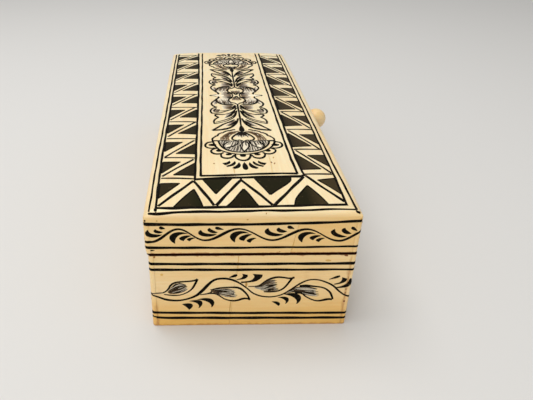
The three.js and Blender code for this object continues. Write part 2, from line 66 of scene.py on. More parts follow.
def linear(code):
    """Linear colour of an sRGB hex code, by the standard curve."""
    parts = np.array([int(code[i : i + 2], 16) for i in (1, 3, 5)]) / 255
    bright = ((parts + 0.055) / 1.055) ** 2.4
    return tuple(np.where(parts <= 0.04045, parts / 12.92, bright))


def corners(node):
    """Lowest and highest corner of a frame node, in millimetres."""
    low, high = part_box(node)
    return np.array(low) / MM, np.array(high) / MM


# Driving sizes of the box, read from the frame

BASE_LOW, BASE_HIGH = corners("base_front_plate_1")
LID_LOW, LID_HIGH = corners("lid_front_plate")
LID_BACK = corners("lid_back_plate")[0][0]
HALF_LENGTH = -BASE_LOW[1]
BASE_HALF = BASE_HIGH[0]
LID_HALF = (LID_HIGH[0] - LID_BACK) / 2
LID_SHIFT = (LID_HIGH[0] + LID_BACK) / 2
BASE_TOP = BASE_HIGH[2]
LID_BOTTOM = LID_LOW[2]
EDGING_BOTTOM, CROWN = corners("lid_near_edging")[0][2], corners("lid_top_plate_centre_2")[1][2]
TOP_PLATE_BOTTOM = corners("lid_top_plate_near")[0][2]
CORNER = 1.3
BEND_MARGIN = 0.3
PLAN = {"base": (0.0, BASE_HALF), "lid": (LID_SHIFT, LID_HALF)}

# Crown of the lid: flat in the middle, falling as a parabola to the sides and the ends
PANEL_HALF = 19.0
SIDE_FALL = 1.3
END_FALL = 1.0
END_FALL_LENGTH = 36.0
EDGING_ROUND = 2.6

BONE_NODES = sorted(
    name
    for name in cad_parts
    if name.startswith(("base_front_p", "base_back_p", "base_near_p", "base_far_p", "base_rim"))
    or (name.startswith("lid") and name.endswith(("_edging", "_plate", "_left", "_right")))
)


# Surfaces that carry the ink. Each takes face coordinates (u to the right, v up or away) and
# gives the point in millimetres and the outward direction there.


def top_height(x, y):
    """Height of the lid's top: the crown's two parabolas, less a quarter round at the rim.
    The round drops r - sqrt(r^2 - (r - d)^2) at distance d from the nearest side."""
    across = np.abs(x - LID_SHIFT)
    side = np.clip(across - PANEL_HALF, 0, None) / (LID_HALF - PANEL_HALF)
    end = np.clip(np.abs(y) - HALF_LENGTH + END_FALL_LENGTH, 0, None) / END_FALL_LENGTH
    inset = np.minimum(LID_HALF - across, HALF_LENGTH - np.abs(y))
    reach = np.clip(EDGING_ROUND - inset, 0, EDGING_ROUND)
    drop = EDGING_ROUND - np.sqrt(EDGING_ROUND**2 - reach**2)
    return CROWN - SIDE_FALL * side**2 - END_FALL * end**2 - drop


def lid_top(u, v):
    """The crowned top, with its slope taken from two close neighbours."""
    step = 0.02
    slope_x = (top_height(u + step, v) - top_height(u - step, v)) / (2 * step)
    slope_y = (top_height(u, v + step) - top_height(u, v - step)) / (2 * step)
    point = np.stack([u, v, top_height(u, v)], axis=-1)
    out = np.stack([-slope_x, -slope_y, np.ones_like(u)], axis=-1)
    return point, out / np.linalg.norm(out, axis=-1, keepdims=True)


def round_corner(u, centre, half):
    """Follows a face of that half width and on round its corners, an arc of the corner radius.
    Gives the place along the face, the depth behind it and the turn of the outward direction."""
    flat = half - CORNER
    sign = np.sign(u - centre)
    turn = np.clip((np.abs(u - centre) - flat) / CORNER, 0, math.pi / 2)
    along = centre + sign * (np.minimum(np.abs(u - centre), flat) + CORNER * np.sin(turn))
    return along, CORNER * (1 - np.cos(turn)), sign * turn


def end_face(body, side):
    """Near (-1) or far (+1) end of the base or the lid, with round corners."""
    shift, half = PLAN[body]

    def surface(u, v):
        along, depth, turn = round_corner(u, -side * shift, half)
        point = np.stack([-side * along, side * (HALF_LENGTH - depth), v], axis=-1)
        out = np.stack([-side * np.sin(turn), side * np.cos(turn), 0 * v], axis=-1)
        return point, out

    return surface


def end_bends(body, side):
    """Where the corners begin on an end, in its own u, less a margin."""
    shift, half = PLAN[body]
    flat = half - CORNER - BEND_MARGIN
    return -side * shift - flat, -side * shift + flat


def long_face(body, side):
    """Front (+1) or back (-1) of the base or the lid, with round corners."""
    shift, half = PLAN[body]

    def surface(u, v):
        along, depth, turn = round_corner(u, 0.0, HALF_LENGTH)
        point = np.stack([shift + side * (half - depth), side * along, v], axis=-1)
        out = np.stack([side * np.cos(turn), side * np.sin(turn), 0 * v], axis=-1)
        return point, out

    return surface


# Curves in face coordinates


# Points on each span of a smooth curve, and the length of a vine's steps in mm
SPAN_POINTS = 8
VINE_STEP = 0.7


def smooth(points):
    """Curve through the points: on each span the Catmull-Rom cubic of its four neighbours."""
    p = np.asarray(points, float)
    if len(p) == 2:
        return p[0] + (p[1] - p[0]) * np.linspace(0, 1, SPAN_POINTS)[:, None]
    q = np.vstack([2 * p[0] - p[1], p, 2 * p[-1] - p[-2]])
    a, b, c, d = q[:-3], q[1:-2], q[2:-1], q[3:]
    t = np.linspace(0, 1, SPAN_POINTS, endpoint=False)[:, None, None]
    square, cube = (2 * a - 5 * b + 4 * c - d) * t**2, (3 * b - a - 3 * c + d) * t**3
    curve = 0.5 * (2 * b + (c - a) * t + square + cube)
    return np.vstack([curve.transpose(1, 0, 2).reshape(-1, 2), p[-1]])


def even(path, shares):
    """The same path with its points at the given shares of its length, or that many at equal
    distances."""
    steps = np.linalg.norm(np.diff(path, axis=0), axis=1)
    run = np.concatenate([[0], np.cumsum(steps)])
    want = run[-1] * (np.linspace(0, 1, shares) if np.isscalar(shares) else shares)
    return np.column_stack([np.interp(want, run, path[:, axis]) for axis in (0, 1)])


def length_of(path):
    """Length of a path: the sum of the distances from point to point."""
    return np.linalg.norm(np.diff(path, axis=0), axis=1).sum()


def headings(path):
    """Direction in which a path runs at each point, and the direction to the left of that."""
    ahead = np.gradient(path, axis=0)
    ahead /= np.maximum(np.linalg.norm(ahead, axis=1, keepdims=True), 1e-9)
    return ahead, np.column_stack([-ahead[:, 1], ahead[:, 0]])


def wave(turns):
    """Curve that swings between turning points, half a cosine from each to the next, and how
    steeply it climbs or falls at each point."""
    turns = np.asarray(turns, float)
    u = np.linspace(turns[0, 0], turns[-1, 0], int(np.ptp(turns[:, 0]) / VINE_STEP) + 2)
    k = np.clip(np.searchsorted(turns[:, 0], u, side="right") - 1, 0, len(turns) - 2)
    t = (u - turns[k, 0]) / (turns[k + 1, 0] - turns[k, 0])
    rise = turns[k + 1, 1] - turns[k, 1]
    v = turns[k, 1] + rise * (1 - np.cos(math.pi * t)) / 2
    return np.column_stack([u, v]), np.sin(math.pi * t) * np.sign(rise)


def bezier(start, pull_a, pull_b, end, count):
    """Cubic curve from start to end, drawn towards two pull points."""
    t = np.linspace(0, 1, count)[:, None]
    s = 1 - t
    start, pull_a, pull_b, end = (np.asarray(p, float) for p in (start, pull_a, pull_b, end))
    return s**3 * start + 3 * s**2 * t * pull_a + 3 * s * t**2 * pull_b + t**3 * end


# Ink strips: the depth of their feet in the bone, the width of one column of quads across them,
# the least width at a tip, and the length of a step round a corner of the box
INK_DEPTH = 0.08
COLUMN_WIDTH = 0.4
TIP_WIDTH = 0.03
BEND_STEP = 0.3
# Heights of marks over the bone, so that none lie in one plane: washes and stains, lac, and lines
WASH_LIFT = 0.02
LAC_LIFT = 0.03
LINE_LIFT = 0.045
# Fine strokes lie this much lower than lines, spread over that height
HATCH_DEPTH = 0.012
HATCH_SPREAD = 0.01
# A pen line sways aside slowly and quickly and swells: millimetres to the radian
SLOW_SWAY = 4.1
QUICK_SWAY = 1.7
SWELL = 2.3
# Share of its width that a brush drop has along its length, from the blunt end
DROP_SHARES = np.array([0.55, 1.0, 0.85, 0.5, 0.2])

# Comma forms: outer edge, then inner edge, each as its start and two pull points
HOOK = [[(0, 0), (-0.27, 0.9), (0.84, 0.66)], [(0.04, 0), (0.18, 0.24), (0.6, 0.45)]]
PLUMP = [[(0, 0), (-0.72, 1.05), (0.88, 0.5)], [(0.06, 0), (0.24, 0.1), (0.55, 0.16)]]
CLAW = [[(0, 0), (-0.08, 0.45), (0.45, 0.8)], [(0.04, 0), (0.12, 0.23), (0.51, 0.27)]]
SCOOP = [[(0, 0), (-0.4, 0.6), (0.74, 0.54)], [(0.04, 0), (0.18, 0.24), (0.5, 0.16)]]
DAB = [[(0, 0), (-0.46, 0.62), (0.78, 0.62)], [(0.07, 0), (0.12, 0.1), (0.4, 0.04)]]
WEDGE = [[(0, 0), (-0.05, 0.9), (0.5, 1.1)], [(0.04, 0), (0.3, 0.06), (0.6, 0.06)]]


class Drawing:
    """Marks on one face. Every mark is a thin closed strip between two edges that run the same
    way; all strips become one mesh whose point attribute "ink" says how dark the mark is, and
    is negative for brown ink. The broad nib makes pen lines that run along u wider by that
    share."""

    def __init__(self, surface, seed, lift=LINE_LIFT, bends=None, nib=0.0):
        self.surface = surface
        self.bends = bends
        self.nib = nib
        self.random = np.random.default_rng(seed)
        self.lift = lift
        self.points = []
        self.faces = []
        self.ink = []
        self.count = 0

    def strip(self, left, right, ink=1.0, lift=None):
        """A slab from edge left to edge right. Each station has a foot in the bone on either side
        and a row of points across its top, close enough to follow the crown; quads join the
        stations and one face closes each end. A tip is kept a hair wide so that it stays closed."""
        n = len(left)
        middle = (left + right) / 2
        _, normal = headings(middle)
        if ((left - right) * normal).sum() < 0:
            left, right = right, left
        gap = np.linalg.norm(left - right, axis=1)
        thin = (gap < TIP_WIDTH)[:, None]
        left = np.where(thin, middle + normal * (TIP_WIDTH / 2), left)
        right = np.where(thin, middle - normal * (TIP_WIDTH / 2), right)
        lift = self.lift if lift is None else lift
        shares = np.linspace(0, 1, int(gap.max() / COLUMN_WIDTH) + 2)
        top = [(left + (right - left) * share, lift) for share in shares]
        rows = [(left, -INK_DEPTH), *top, (right, -INK_DEPTH)]
        ring = []
        for edge, height in rows:
            point, out = self.surface(edge[:, 0], edge[:, 1])
            ring.append(point + out * height)
        size = len(rows)
        self.points.append(np.stack(ring, axis=1).reshape(-1, 3))
        self.ink.append(np.repeat(np.broadcast_to(np.asarray(ink, float), n), size))
        base = self.count + size * np.arange(n - 1)[:, None, None]
        a = np.arange(size)
        b = np.roll(a, -1)
        quads = np.stack([a, b, b + size, a + size], axis=-1)[None] + base
        self.faces += quads.reshape(-1, 4).tolist()
        self.faces.append((self.count + a[::-1]).tolist())
        self.faces.append((self.count + size * (n - 1) + a).tolist())
        self.count += size * n

    def line(self, points, width, ink=1.0, waver=0.05, lift=None, curved=True, step=1.2):
        """A pen line along the points, in even steps and finer ones round a corner of the box.
        width and ink may be lists that run along it evenly. The line sways aside as two sines of
        its length, its width swells as a third, and it is wider by the nib's share times the
        square of the cosine of its angle to u."""
        path = smooth(points) if curved else np.asarray(points, float)
        run = length_of(path)
        t = np.linspace(0, 1, max(3, int(run / step) + 2))
        if self.bends is not None:
            fine = np.linspace(0, 1, int(run / BEND_STEP) + 2)
            at = even(path, len(fine))[:, 0]
            turning = (at < self.bends[0]) | (at > self.bends[1])
            t = np.unique(np.concatenate([t, fine[turning]]))
        path = even(path, t)
        weight = bpy.context.scene.keepsake_sizes.line_weight
        width = weight * np.interp(t, np.linspace(0, 1, np.size(width)), np.atleast_1d(width))
        ink = np.interp(t, np.linspace(0, 1, np.size(ink)), np.atleast_1d(ink))
        ahead, normal = headings(path)
        phase = self.random.uniform(0, 2 * math.pi, 3)
        along = run * t
        sway = np.sin(along / SLOW_SWAY + phase[0]) + 0.6 * np.sin(along / QUICK_SWAY + phase[1])
        width = width * (1 + 0.1 * np.sin(along / SWELL + phase[2]))
        width = width * (1 + self.nib * ahead[:, 0] ** 2)
        path = path + normal * (waver * sway)[:, None]
        half = normal * (width / 2)[:, None]
        self.strip(path + half, path - half, ink, lift)

    def fill(self, edge_a, edge_b, ink=1.0, count=14, lift=None):
        """A filled shape between two curved edges."""
        self.strip(even(smooth(edge_a), count), even(smooth(edge_b), count), ink, lift)

    def triangle(self, a, b, c):
        """A filled triangle, from its side a-b to the corner c."""
        a, b, c = (np.asarray(p, float) for p in (a, b, c))
        t = np.linspace(0, 1, 8)[:, None]
        self.strip(a + (c - a) * t, b + (c - b) * t)

    def oval(self, centre, across, up, lift=None):
        """A filled oval between two half arcs: u is the cosine of the turn times the half width,
        and v its sine times the half height."""
        t = np.linspace(0, math.pi, 12)
        edge = np.column_stack([-np.cos(t) * across, np.sin(t) * up])
        self.strip(edge + centre, edge * [1, -1] + centre, lift=lift)

    def comma(self, tip, tail, side, form, fat):
        """A brush comma from tip to tail, between two cubics. The form gives where the outer and
        the inner edge begin and the pull points of each, along and beside the chord in chord
        lengths; fat stretches it beside the chord."""
        tip, tail = np.asarray(tip, float), np.asarray(tail, float)
        chord = tail - tip
        beside = fat * side * np.array([-chord[1], chord[0]])
        edges = []
        for points in form:
            begin, pull_a, pull_b = (tip + along * chord + out * beside for along, out in points)
            edges.append(bezier(begin, pull_a, pull_b, tail, 16))
        self.strip(*edges)

    def hatch(self, starts, ends, count, width, ink, ragged, bend=0.1, over=0.0):
        """Fine strokes from one guide line to another, ragged at their far ends. Each has its own
        bend, tone, width and height, so that no two lie in one plane where they cross."""
        a = even(smooth(starts), count)
        b = even(smooth(ends), count)
        for k in range(count):
            reach = 1 - ragged * self.random.uniform(0, 1)
            begin = a[k] + (b[k] - a[k]) * self.random.uniform(0, 0.3 * ragged)
            end = a[k] + (b[k] - a[k]) * reach
            across = np.array([begin[1] - end[1], end[0] - begin[0]])
            middle = (begin + end) / 2 + across * bend * self.random.uniform(-1, 1)
            tone = np.array(ink) * self.random.uniform(0.7, 1.1)
            size = width * self.random.uniform(0.6, 1.4)
            lift = self.lift + over - HATCH_DEPTH + HATCH_SPREAD * self.random.uniform(0, 1)
            self.line([begin, middle, end], [size, size, 0.3 * size], tone, 0, lift)

    def drop(self, blunt, tail, width):
        """A short brush mark that starts blunt, swells and tapers to its tail."""
        weight = bpy.context.scene.keepsake_sizes.line_weight
        swell = DROP_SHARES * width / weight
        blunt, tail = np.asarray(blunt, float), np.asarray(tail, float)
        self.line([blunt, (blunt + tail) / 2, tail], swell, waver=0, step=0.25)

    def comb(self, edge_a, edge_b, count, width, ink, share=(0.22, 0.5), over=0.0):
        """Brush strokes between two guides that run much as the guides do, each over a share of
        their length. The first ink is at the middle of the patch and the second at its edges, and
        the strokes at the edges lie a hair lower."""
        places = 40
        a, b = even(smooth(edge_a), places), even(smooth(edge_b), places)
        for _ in range(count):
            f = self.random.uniform(0.02, 0.98)
            run = self.random.uniform(*share)
            begin = self.random.uniform(0, 1 - run)
            k = ((places - 1) * (begin + run * np.array([0, 0.5, 1]))).astype(int)
            aside = min(1.0, 0.7 * abs(2 * f - 1) + 0.6 * abs(2 * begin + run - 1))
            tone = ink[0] + (ink[1] - ink[0]) * np.clip(aside + self.random.normal(0, 0.22), 0, 1)
            size = width * self.random.uniform(0.5, 1.4)
            lift = self.lift + over - 0.004 - 0.012 * aside
            self.line(a[k] * (1 - f) + b[k] * f, [0.4 * size, size, 0.3 * size], tone, 0, lift)

    def make(self, name, body, finish):
        """Turns the marks into one object that rides on a body."""
        piece = mesh_piece(name, np.vstack(self.points), self.faces, finish)
        layer = piece.data.attributes.new("ink", "FLOAT", "POINT")
        layer.data.foreach_set("value", np.concatenate(self.ink).astype(np.float32))
        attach(piece, body)
        return piece


# Meshes


def mesh_piece(name, points, faces, finish, sharp_angle=None):
    """Object at the origin from points in millimetres and rows of corner numbers. With an angle in
    degrees it is shaded smooth, except where its faces meet at more than that."""
    mesh = bpy.data.meshes.new(name)
    mesh.from_pydata(points * MM, [], faces if isinstance(faces, list) else faces.tolist())
    mesh.update()
    if sharp_angle is not None:
        mesh.shade_smooth()
        mesh.set_sharp_from_angle(angle=math.radians(sharp_angle))
    piece = bpy.data.objects.new(name, mesh)
    bpy.context.scene.collection.objects.link(piece)
    mesh.materials.append(finish)
    return piece


def grid_faces(rows, columns, start=0, turned=False):
    """Corner numbers of a grid's quads, row by row."""
    index = start + np.arange(rows * columns).reshape(rows, columns)
    a, b, c, d = index[:-1, :-1], index[:-1, 1:], index[1:, 1:], index[1:, :-1]
    order = (a, d, c, b) if turned else (a, b, c, d)
    return np.stack(order, axis=-1).reshape(-1, 4)


def shell(upper, lower):
    """Closed solid between two point grids that share their outline order. The upper grid runs
    +x along columns and +y along rows; walls join the two outlines."""
    rows, columns = upper.shape[:2]
    size = rows * columns
    points = np.vstack([upper.reshape(-1, 3), lower.reshape(-1, 3)])
    index = np.arange(size).reshape(rows, columns)
    rim = np.concatenate([index[0], index[1:, -1], index[-1, -2::-1], index[-2:0:-1, 0]])
    after = np.roll(rim, -1)
    walls = np.stack([rim, rim + size, after + size, after], axis=-1)
    faces = [grid_faces(rows, columns), grid_faces(rows, columns, size, turned=True), walls]
    return points, np.vstack(faces)


def lathe(profile, sides):
    """Profile of (radius, along) pairs turned round the axis; both ends close on the axis."""
    profile = np.asarray(profile, float)
    angle = np.linspace(0, 2 * math.pi, sides, endpoint=False)
    ring = profile[1:-1]
    around = np.stack(
        [
            ring[:, None, 0] * np.cos(angle),
            ring[:, None, 0] * np.sin(angle),
            np.repeat(ring[:, 1:], sides, axis=1),
        ],
        axis=-1,
    ).reshape(-1, 3)
    points = np.vstack([around, [0, 0, profile[0, 1]], [0, 0, profile[-1, 1]]])
    index = np.arange(len(ring) * sides).reshape(len(ring), sides)
    after = np.roll(index, -1, axis=1)
    quads = np.stack([index[:-1], after[:-1], after[1:], index[1:]], axis=-1).reshape(-1, 4)
    low, high = len(around), len(around) + 1
    caps = [(low, b, a) for a, b in zip(index[0], after[0])]
    caps += [(high, a, b) for a, b in zip(index[-1], after[-1])]
    return points, quads.tolist() + caps


# Millimetres by which plates lie apart in the bone they were sawn from, for a tone of 1 apart
GRAIN_SHIFT = 37.0


def grain_marks(piece, grain, tone):
    """Stores on each point its place in millimetres with the bone's grain as the first axis, and
    the plate's own tone, with any painted shade added to it. The material draws streaks and pores
    along that first axis."""
    mesh = piece.data
    place = np.zeros(len(mesh.vertices) * 3, np.float32)
    mesh.vertices.foreach_get("co", place)
    place = place.reshape(-1, 3) / MM
    order = {"x": [0, 1, 2], "y": [1, 2, 0]}[grain]
    place = place[:, order] + GRAIN_SHIFT * tone
    along = mesh.attributes.new("along", "FLOAT_VECTOR", "POINT")
    along.data.foreach_set("vector", place.astype(np.float32).ravel())
    shade = mesh.attributes.new("tone", "FLOAT", "POINT")
    shade.data.foreach_set("value", np.full(len(mesh.vertices), tone, np.float32))


# Materials


def set_inputs(tree, node, inputs):
    """Fills or links a node's inputs, which are given in their order or by name or number."""
    pairs = inputs.items() if isinstance(inputs, dict) else enumerate(inputs)
    for key, value in pairs:
        if isinstance(value, bpy.types.NodeSocket):
            tree.links.new(value, node.inputs[key])
        else:
            node.inputs[key].default_value = value


def add_node(tree, kind, inputs=(), out=0, **settings):
    """Adds a shader node with its own properties and its inputs, and gives one output of it."""
    node = tree.nodes.new("ShaderNode" + kind)
    for name, value in settings.items():
        setattr(node, name, value)
    set_inputs(tree, node, inputs)
    return node.outputs[out]


def new_material(name):
    """Empty material with its shader and output in place."""
    material = bpy.data.materials.new(name)
    material.use_nodes = True
    tree = material.node_tree
    tree.nodes.clear()
    shader = tree.nodes.new("ShaderNodeBsdfPrincipled")
    output = tree.nodes.new("ShaderNodeOutputMaterial")
    tree.links.new(shader.outputs["BSDF"], output.inputs["Surface"])
    return material, tree, shader


def four(colour):
    """Colour with full opacity, as a colour socket takes it."""
    return (*colour, 1.0)


# Noise in the bone: features to the millimetre along the grain and across it both ways, detail
# and roughness. Broad shades are 83 mm long and 17 mm wide, growth streaks 29 and 1.1, hairs 8
# and 0.2, pores 1.4 and 0.17, clouds about 10 mm both ways and blots 3 mm.
BONE_NOISE = {
    "broad": ((0.012, 0.06, 0.06), 3.0, 0.55),
    "streak": ((0.035, 0.9, 0.9), 4.0, 0.6),
    "hair": ((0.12, 4.5, 4.5), 2.0, 0.55),
    "pore": ((0.7, 6.0, 6.0), 1.0, 0.55),
    "cloud": ((0.09, 0.12, 0.12), 2.0, 0.55),
    "blot": ((0.35, 0.35, 0.35), 3.0, 0.55),
}
# Where the painted shade of the sides and the foot, the seam's dark band of dirt and painted
# shade, and the rust and stains begin and end on the bone, in mm
TOP_ROUND = (CROWN - 1.9, CROWN - 4.2)
EDGING_STEP = (EDGING_BOTTOM + 0.2, EDGING_BOTTOM - 0.2)
FOOT_SHADE_HEIGHT = 17.0
SEAM = (BASE_TOP + LID_BOTTOM) / 2
SEAM_DIRT_AND_SHADE = (0.69, 0.5)
SEAM_RUST = (0.95, 0.6)
CORNER_JOINT = BASE_HALF - 2.0
JOINT_RUST_LEFT = 13.0
JOINT_RUST_RIGHT = BASE_TOP - 1.0


def polished_camel_bone(colours):
    """Camel bone, sawn into plates, scraped and rubbed with wax: cream where it is fresh and
    honey where it is handled, with painted shade that makes the sides and most of all the foot
    honey too and a dark band of dirt and painted shade where the lid closes, with fine streaks
    and short pores along the grain, a satin gloss and a little light let in."""
    material, tree, shader = new_material("Polished camel bone")
    node = functools.partial(add_node, tree)
    along = node("Attribute", out="Vector", attribute_name="along")
    tone = node("Attribute", out="Fac", attribute_name="tone")
    place = node("TexCoord", out="Object")
    metric = node("VectorMath", {0: place, "Scale": 1 / MM}, operation="SCALE")
    x, y, z = node("SeparateXYZ", (metric,)).node.outputs
    noise = {}
    for name, (stretch, detail, roughness) in BONE_NOISE.items():
        run = node("VectorMath", (along, stretch), operation="MULTIPLY")
        inputs = {"Vector": run, "Scale": 1.0, "Detail": detail, "Roughness": roughness}
        noise[name] = node("TexNoise", inputs)

    # The share of honey is the plate's tone, plus broad shades of tone, plus painted shade: more on
    # the sides than on the lit top, a little less below the edging, and most near the foot
    honey_and_shade = tone
    for share in (
        node("MapRange", (noise["broad"], 0.35, 0.65, 0.0, 0.22)),
        node("MapRange", (z, *TOP_ROUND, 0.0, 0.47)),
        node("MapRange", (z, *EDGING_STEP, 0.0, -0.13)),
        node("MapRange", (z, FOOT_SHADE_HEIGHT, 0.0, 0.0, 0.66)),
    ):
        honey_and_shade = node("Math", (honey_and_shade, share), operation="ADD")

    # Distance from the seam gives the dark band where the lid closes, dirt and painted shade of the
    # gap, and with blots added the rust at its ragged edge. Both are only near the outer faces.
    from_seam = node("Math", (z, SEAM), operation="SUBTRACT")
    seam = node("Math", (from_seam,), operation="ABSOLUTE")
    uneven = node("MapRange", (noise["blot"], 0.42, 0.7, 0.25, -0.3))
    ragged = node("Math", (seam, uneven), operation="ADD")
    away_x = node("Math", (x,), operation="ABSOLUTE")
    away_y = node("Math", (y,), operation="ABSOLUTE")
    past_side = node("Math", (away_x, BASE_HALF), operation="SUBTRACT")
    past_end = node("Math", (away_y, HALF_LENGTH), operation="SUBTRACT")
    past = node("Math", (past_side, past_end), operation="MAXIMUM")
    outside = node("MapRange", (past, -1.3, -0.5))
    near_outside = node("MapRange", (outside, 0.0, 1.0, 0.2, 1.0))
    seam_rust = node("MapRange", (ragged, *SEAM_RUST, 0.0, 0.75))
    seam_rust = node("Math", (seam_rust, near_outside), operation="MULTIPLY")
    dirt_and_shade = node("MapRange", (seam, *SEAM_DIRT_AND_SHADE))
    dirt_and_shade = node("Math", (dirt_and_shade, outside), operation="MULTIPLY")

    # Height with blots added gives the rust along the foot. Distance from the joint of end and
    # side gives the stain there, up to a height that is great on the right and small on the left.
    uneven = node("MapRange", (noise["blot"], 0.3, 0.7, 0.5, -0.5))
    foot = node("Math", (z, uneven), operation="ADD")
    from_joint = node("Math", (away_x, CORNER_JOINT), operation="SUBTRACT")
    from_joint = node("Math", (from_joint,), operation="ABSOLUTE")
    uneven = node("MapRange", (noise["blot"], 0.35, 0.65, 0.4, -0.3))
    from_joint = node("Math", (from_joint, uneven), operation="ADD")
    joint = node("MapRange", (from_joint, 0.9, 0.1, 0.0, 0.7))
    height = node("MapRange", (x, -1.0, 1.0, JOINT_RUST_LEFT, JOINT_RUST_RIGHT))
    below = node("Math", (height, z), operation="SUBTRACT")
    below = node("MapRange", (below, 0.0, 3.0))
    joint = node("Math", (joint, below), operation="MULTIPLY")
    on_end = node("MapRange", (away_y, HALF_LENGTH - 0.5, HALF_LENGTH - 0.3))
    joint = node("Math", (joint, on_end), operation="MULTIPLY")

    colour = four(colours.bone_pale)
    for amount, tint, kind in (
        (node("MapRange", (honey_and_shade,)), colours.bone_honey_and_shade, "MIX"),
        (node("MapRange", (noise["streak"], 0.3, 0.75, 0.0, 0.3)), colours.bone_streak, "MULTIPLY"),
        (node("MapRange", (noise["hair"], 0.45, 0.75, 0.0, 0.14)), colours.bone_streak, "MULTIPLY"),
        (node("MapRange", (noise["pore"], 0.69, 0.76, 0.0, 0.35)), colours.stain, "MIX"),
        (node("MapRange", (noise["cloud"], 0.62, 0.8, 0.0, 0.3)), colours.stain, "MIX"),
        (seam_rust, colours.rust, "MIX"),
        # Dark band at the seam: dirt and painted shade of the gap
        (dirt_and_shade, colours.seam_dirt_and_shade, "MIX"),
        (node("MapRange", (foot, 1.1, 0.2, 0.0, 0.6)), colours.rust, "MIX"),
        (joint, colours.stain, "MIX"),
    ):
        layers = {0: amount, 6: colour, 7: four(tint)}
        colour = node("Mix", layers, 2, data_type="RGBA", blend_type=kind)

    rough = node("MapRange", (noise["streak"], 0.3, 0.7, 0.3, 0.42))
    rough_pores = node("MapRange", (noise["pore"], 0.66, 0.76, 0.0, 0.2))
    ridges = node("MapRange", (noise["streak"], 0.3, 0.7, 0.0, 0.6))
    pits = node("MapRange", (noise["pore"], 0.66, 0.76, 0.0, 1.0))
    relief = node("Math", (ridges, pits), operation="SUBTRACT")
    set_inputs(tree, shader, {
        "Base Color": colour,
        "Roughness": node("Math", (rough, rough_pores), operation="ADD"),
        "Normal": node("Bump", {"Strength": 0.35, "Distance": 0.03 * MM, "Height": relief}),
        "IOR": 1.54,
        "Specular IOR Level": node("MapRange", (dirt_and_shade, 0.0, 1.0, 0.5, 0.0)),
        "Subsurface Weight": node("MapRange", (dirt_and_shade, 0.0, 1.0, 0.12, 0.0)),
        "Subsurface Radius": (1.0, 0.6, 0.3),
        "Subsurface Scale": 1.2 * MM,
        "Coat Weight": node("MapRange", (dirt_and_shade, 0.0, 1.0, 0.12, 0.0)),
        "Coat Roughness": 0.22,
    })
    return material


def rubbed_ink(colours):
    """Lamp black rubbed into scratched lines: near black where the pen pressed, thinning through
    lilac grey to bare bone, and dull beside the waxed bone. Where the ink is negative it is the
    brown ink of the shading. It is worn in patches a millimetre wide."""
    material, tree, shader = new_material("Rubbed lamp black ink")
    node = functools.partial(add_node, tree)
    ink = node("Attribute", out="Fac", attribute_name="ink")
    strength = node("Math", (ink,), operation="ABSOLUTE")
    brown = node("Math", (ink, 0.0), operation="LESS_THAN")
    c = colours
    shades = []
    for stops in (
        ((0.0, c.ink_bare), (0.4, c.ink_grey), (0.8, c.ink_dark), (1.0, c.ink_black)),
        ((0.0, c.ink_bare), (0.5, c.ink_brown), (1.0, c.ink_umber)),
    ):
        shade = node("ValToRGB", (strength,))
        elements = shade.node.color_ramp.elements
        while len(elements) < len(stops):
            elements.new(0.5)
        for element, (position, colour) in zip(elements, stops):
            element.position = position
            element.color = four(colour)
        shades.append(shade)
    shade = node("Mix", {0: brown, 6: shades[0], 7: shades[1]}, 2, data_type="RGBA")
    place = node("TexCoord", out="Object")
    worn = node("TexNoise", {"Vector": place, "Scale": 1 / (0.9 * MM), "Detail": 2.0})
    fade = node("MapRange", (worn, 0.58, 0.8, 0.0, 0.16))
    set_inputs(tree, shader, {
        "Base Color": node("Mix", {0: fade, 6: shade, 7: four(c.ink_brown)}, 2, data_type="RGBA"),
        "Roughness": 0.7,
        "Specular IOR Level": 0.06,
    })
    return material


def soaked_stain(colours):
    """Old wax and rust soaked into the bone: the bone's own honey where the mark is faint, rust
    where it is strong."""
    material, tree, shader = new_material("Soaked rust stain")
    ink = add_node(tree, "Attribute", out="Fac", attribute_name="ink")
    layers = {0: ink, 6: four(colours.bone_honey_and_shade), 7: four(colours.stain_deep)}
    colour = add_node(tree, "Mix", layers, 2, data_type="RGBA")
    set_inputs(tree, shader, {"Base Color": colour, "Roughness": 0.5})
    return material


def black_lac(colours):
    """Black lac melted into the border's triangles: olive black and slightly cloudy, in clouds of
    14 mm, browner where it is thin in the side bands, with pin holes a millimetre apart that show
    brown, and a satin gloss of its own."""
    material, tree, shader = new_material("Olive black lac filling")
    node = functools.partial(add_node, tree)
    place = node("TexCoord", out="Object")
    cloud = node("TexNoise", {"Vector": place, "Scale": 1 / (14 * MM), "Detail": 2.0})
    speck = node("TexNoise", {"Vector": place, "Scale": 1 / (1.2 * MM), "Detail": 3.0})
    across = node("SeparateXYZ", (place,))
    thin_left = node("MapRange", (across, -19 * MM, -24 * MM, 0.0, 0.05))
    thin_right = node("MapRange", (across, 19 * MM, 24 * MM, 0.0, 0.14))
    colour = four(colours.lac_brown)
    for amount, tint in (
        (node("MapRange", (cloud, 0.35, 0.7)), colours.lac_green),
        (node("Math", (thin_left, thin_right), operation="ADD"), colours.ink_brown),
        (node("MapRange", (speck, 0.66, 0.76, 0.0, 0.4)), colours.ink_brown),
    ):
        colour = node("Mix", {0: amount, 6: colour, 7: four(tint)}, 2, data_type="RGBA")
    set_inputs(tree, shader, {"Base Color": colour, "Roughness": 0.45, "Specular IOR Level": 0.05})
    return material


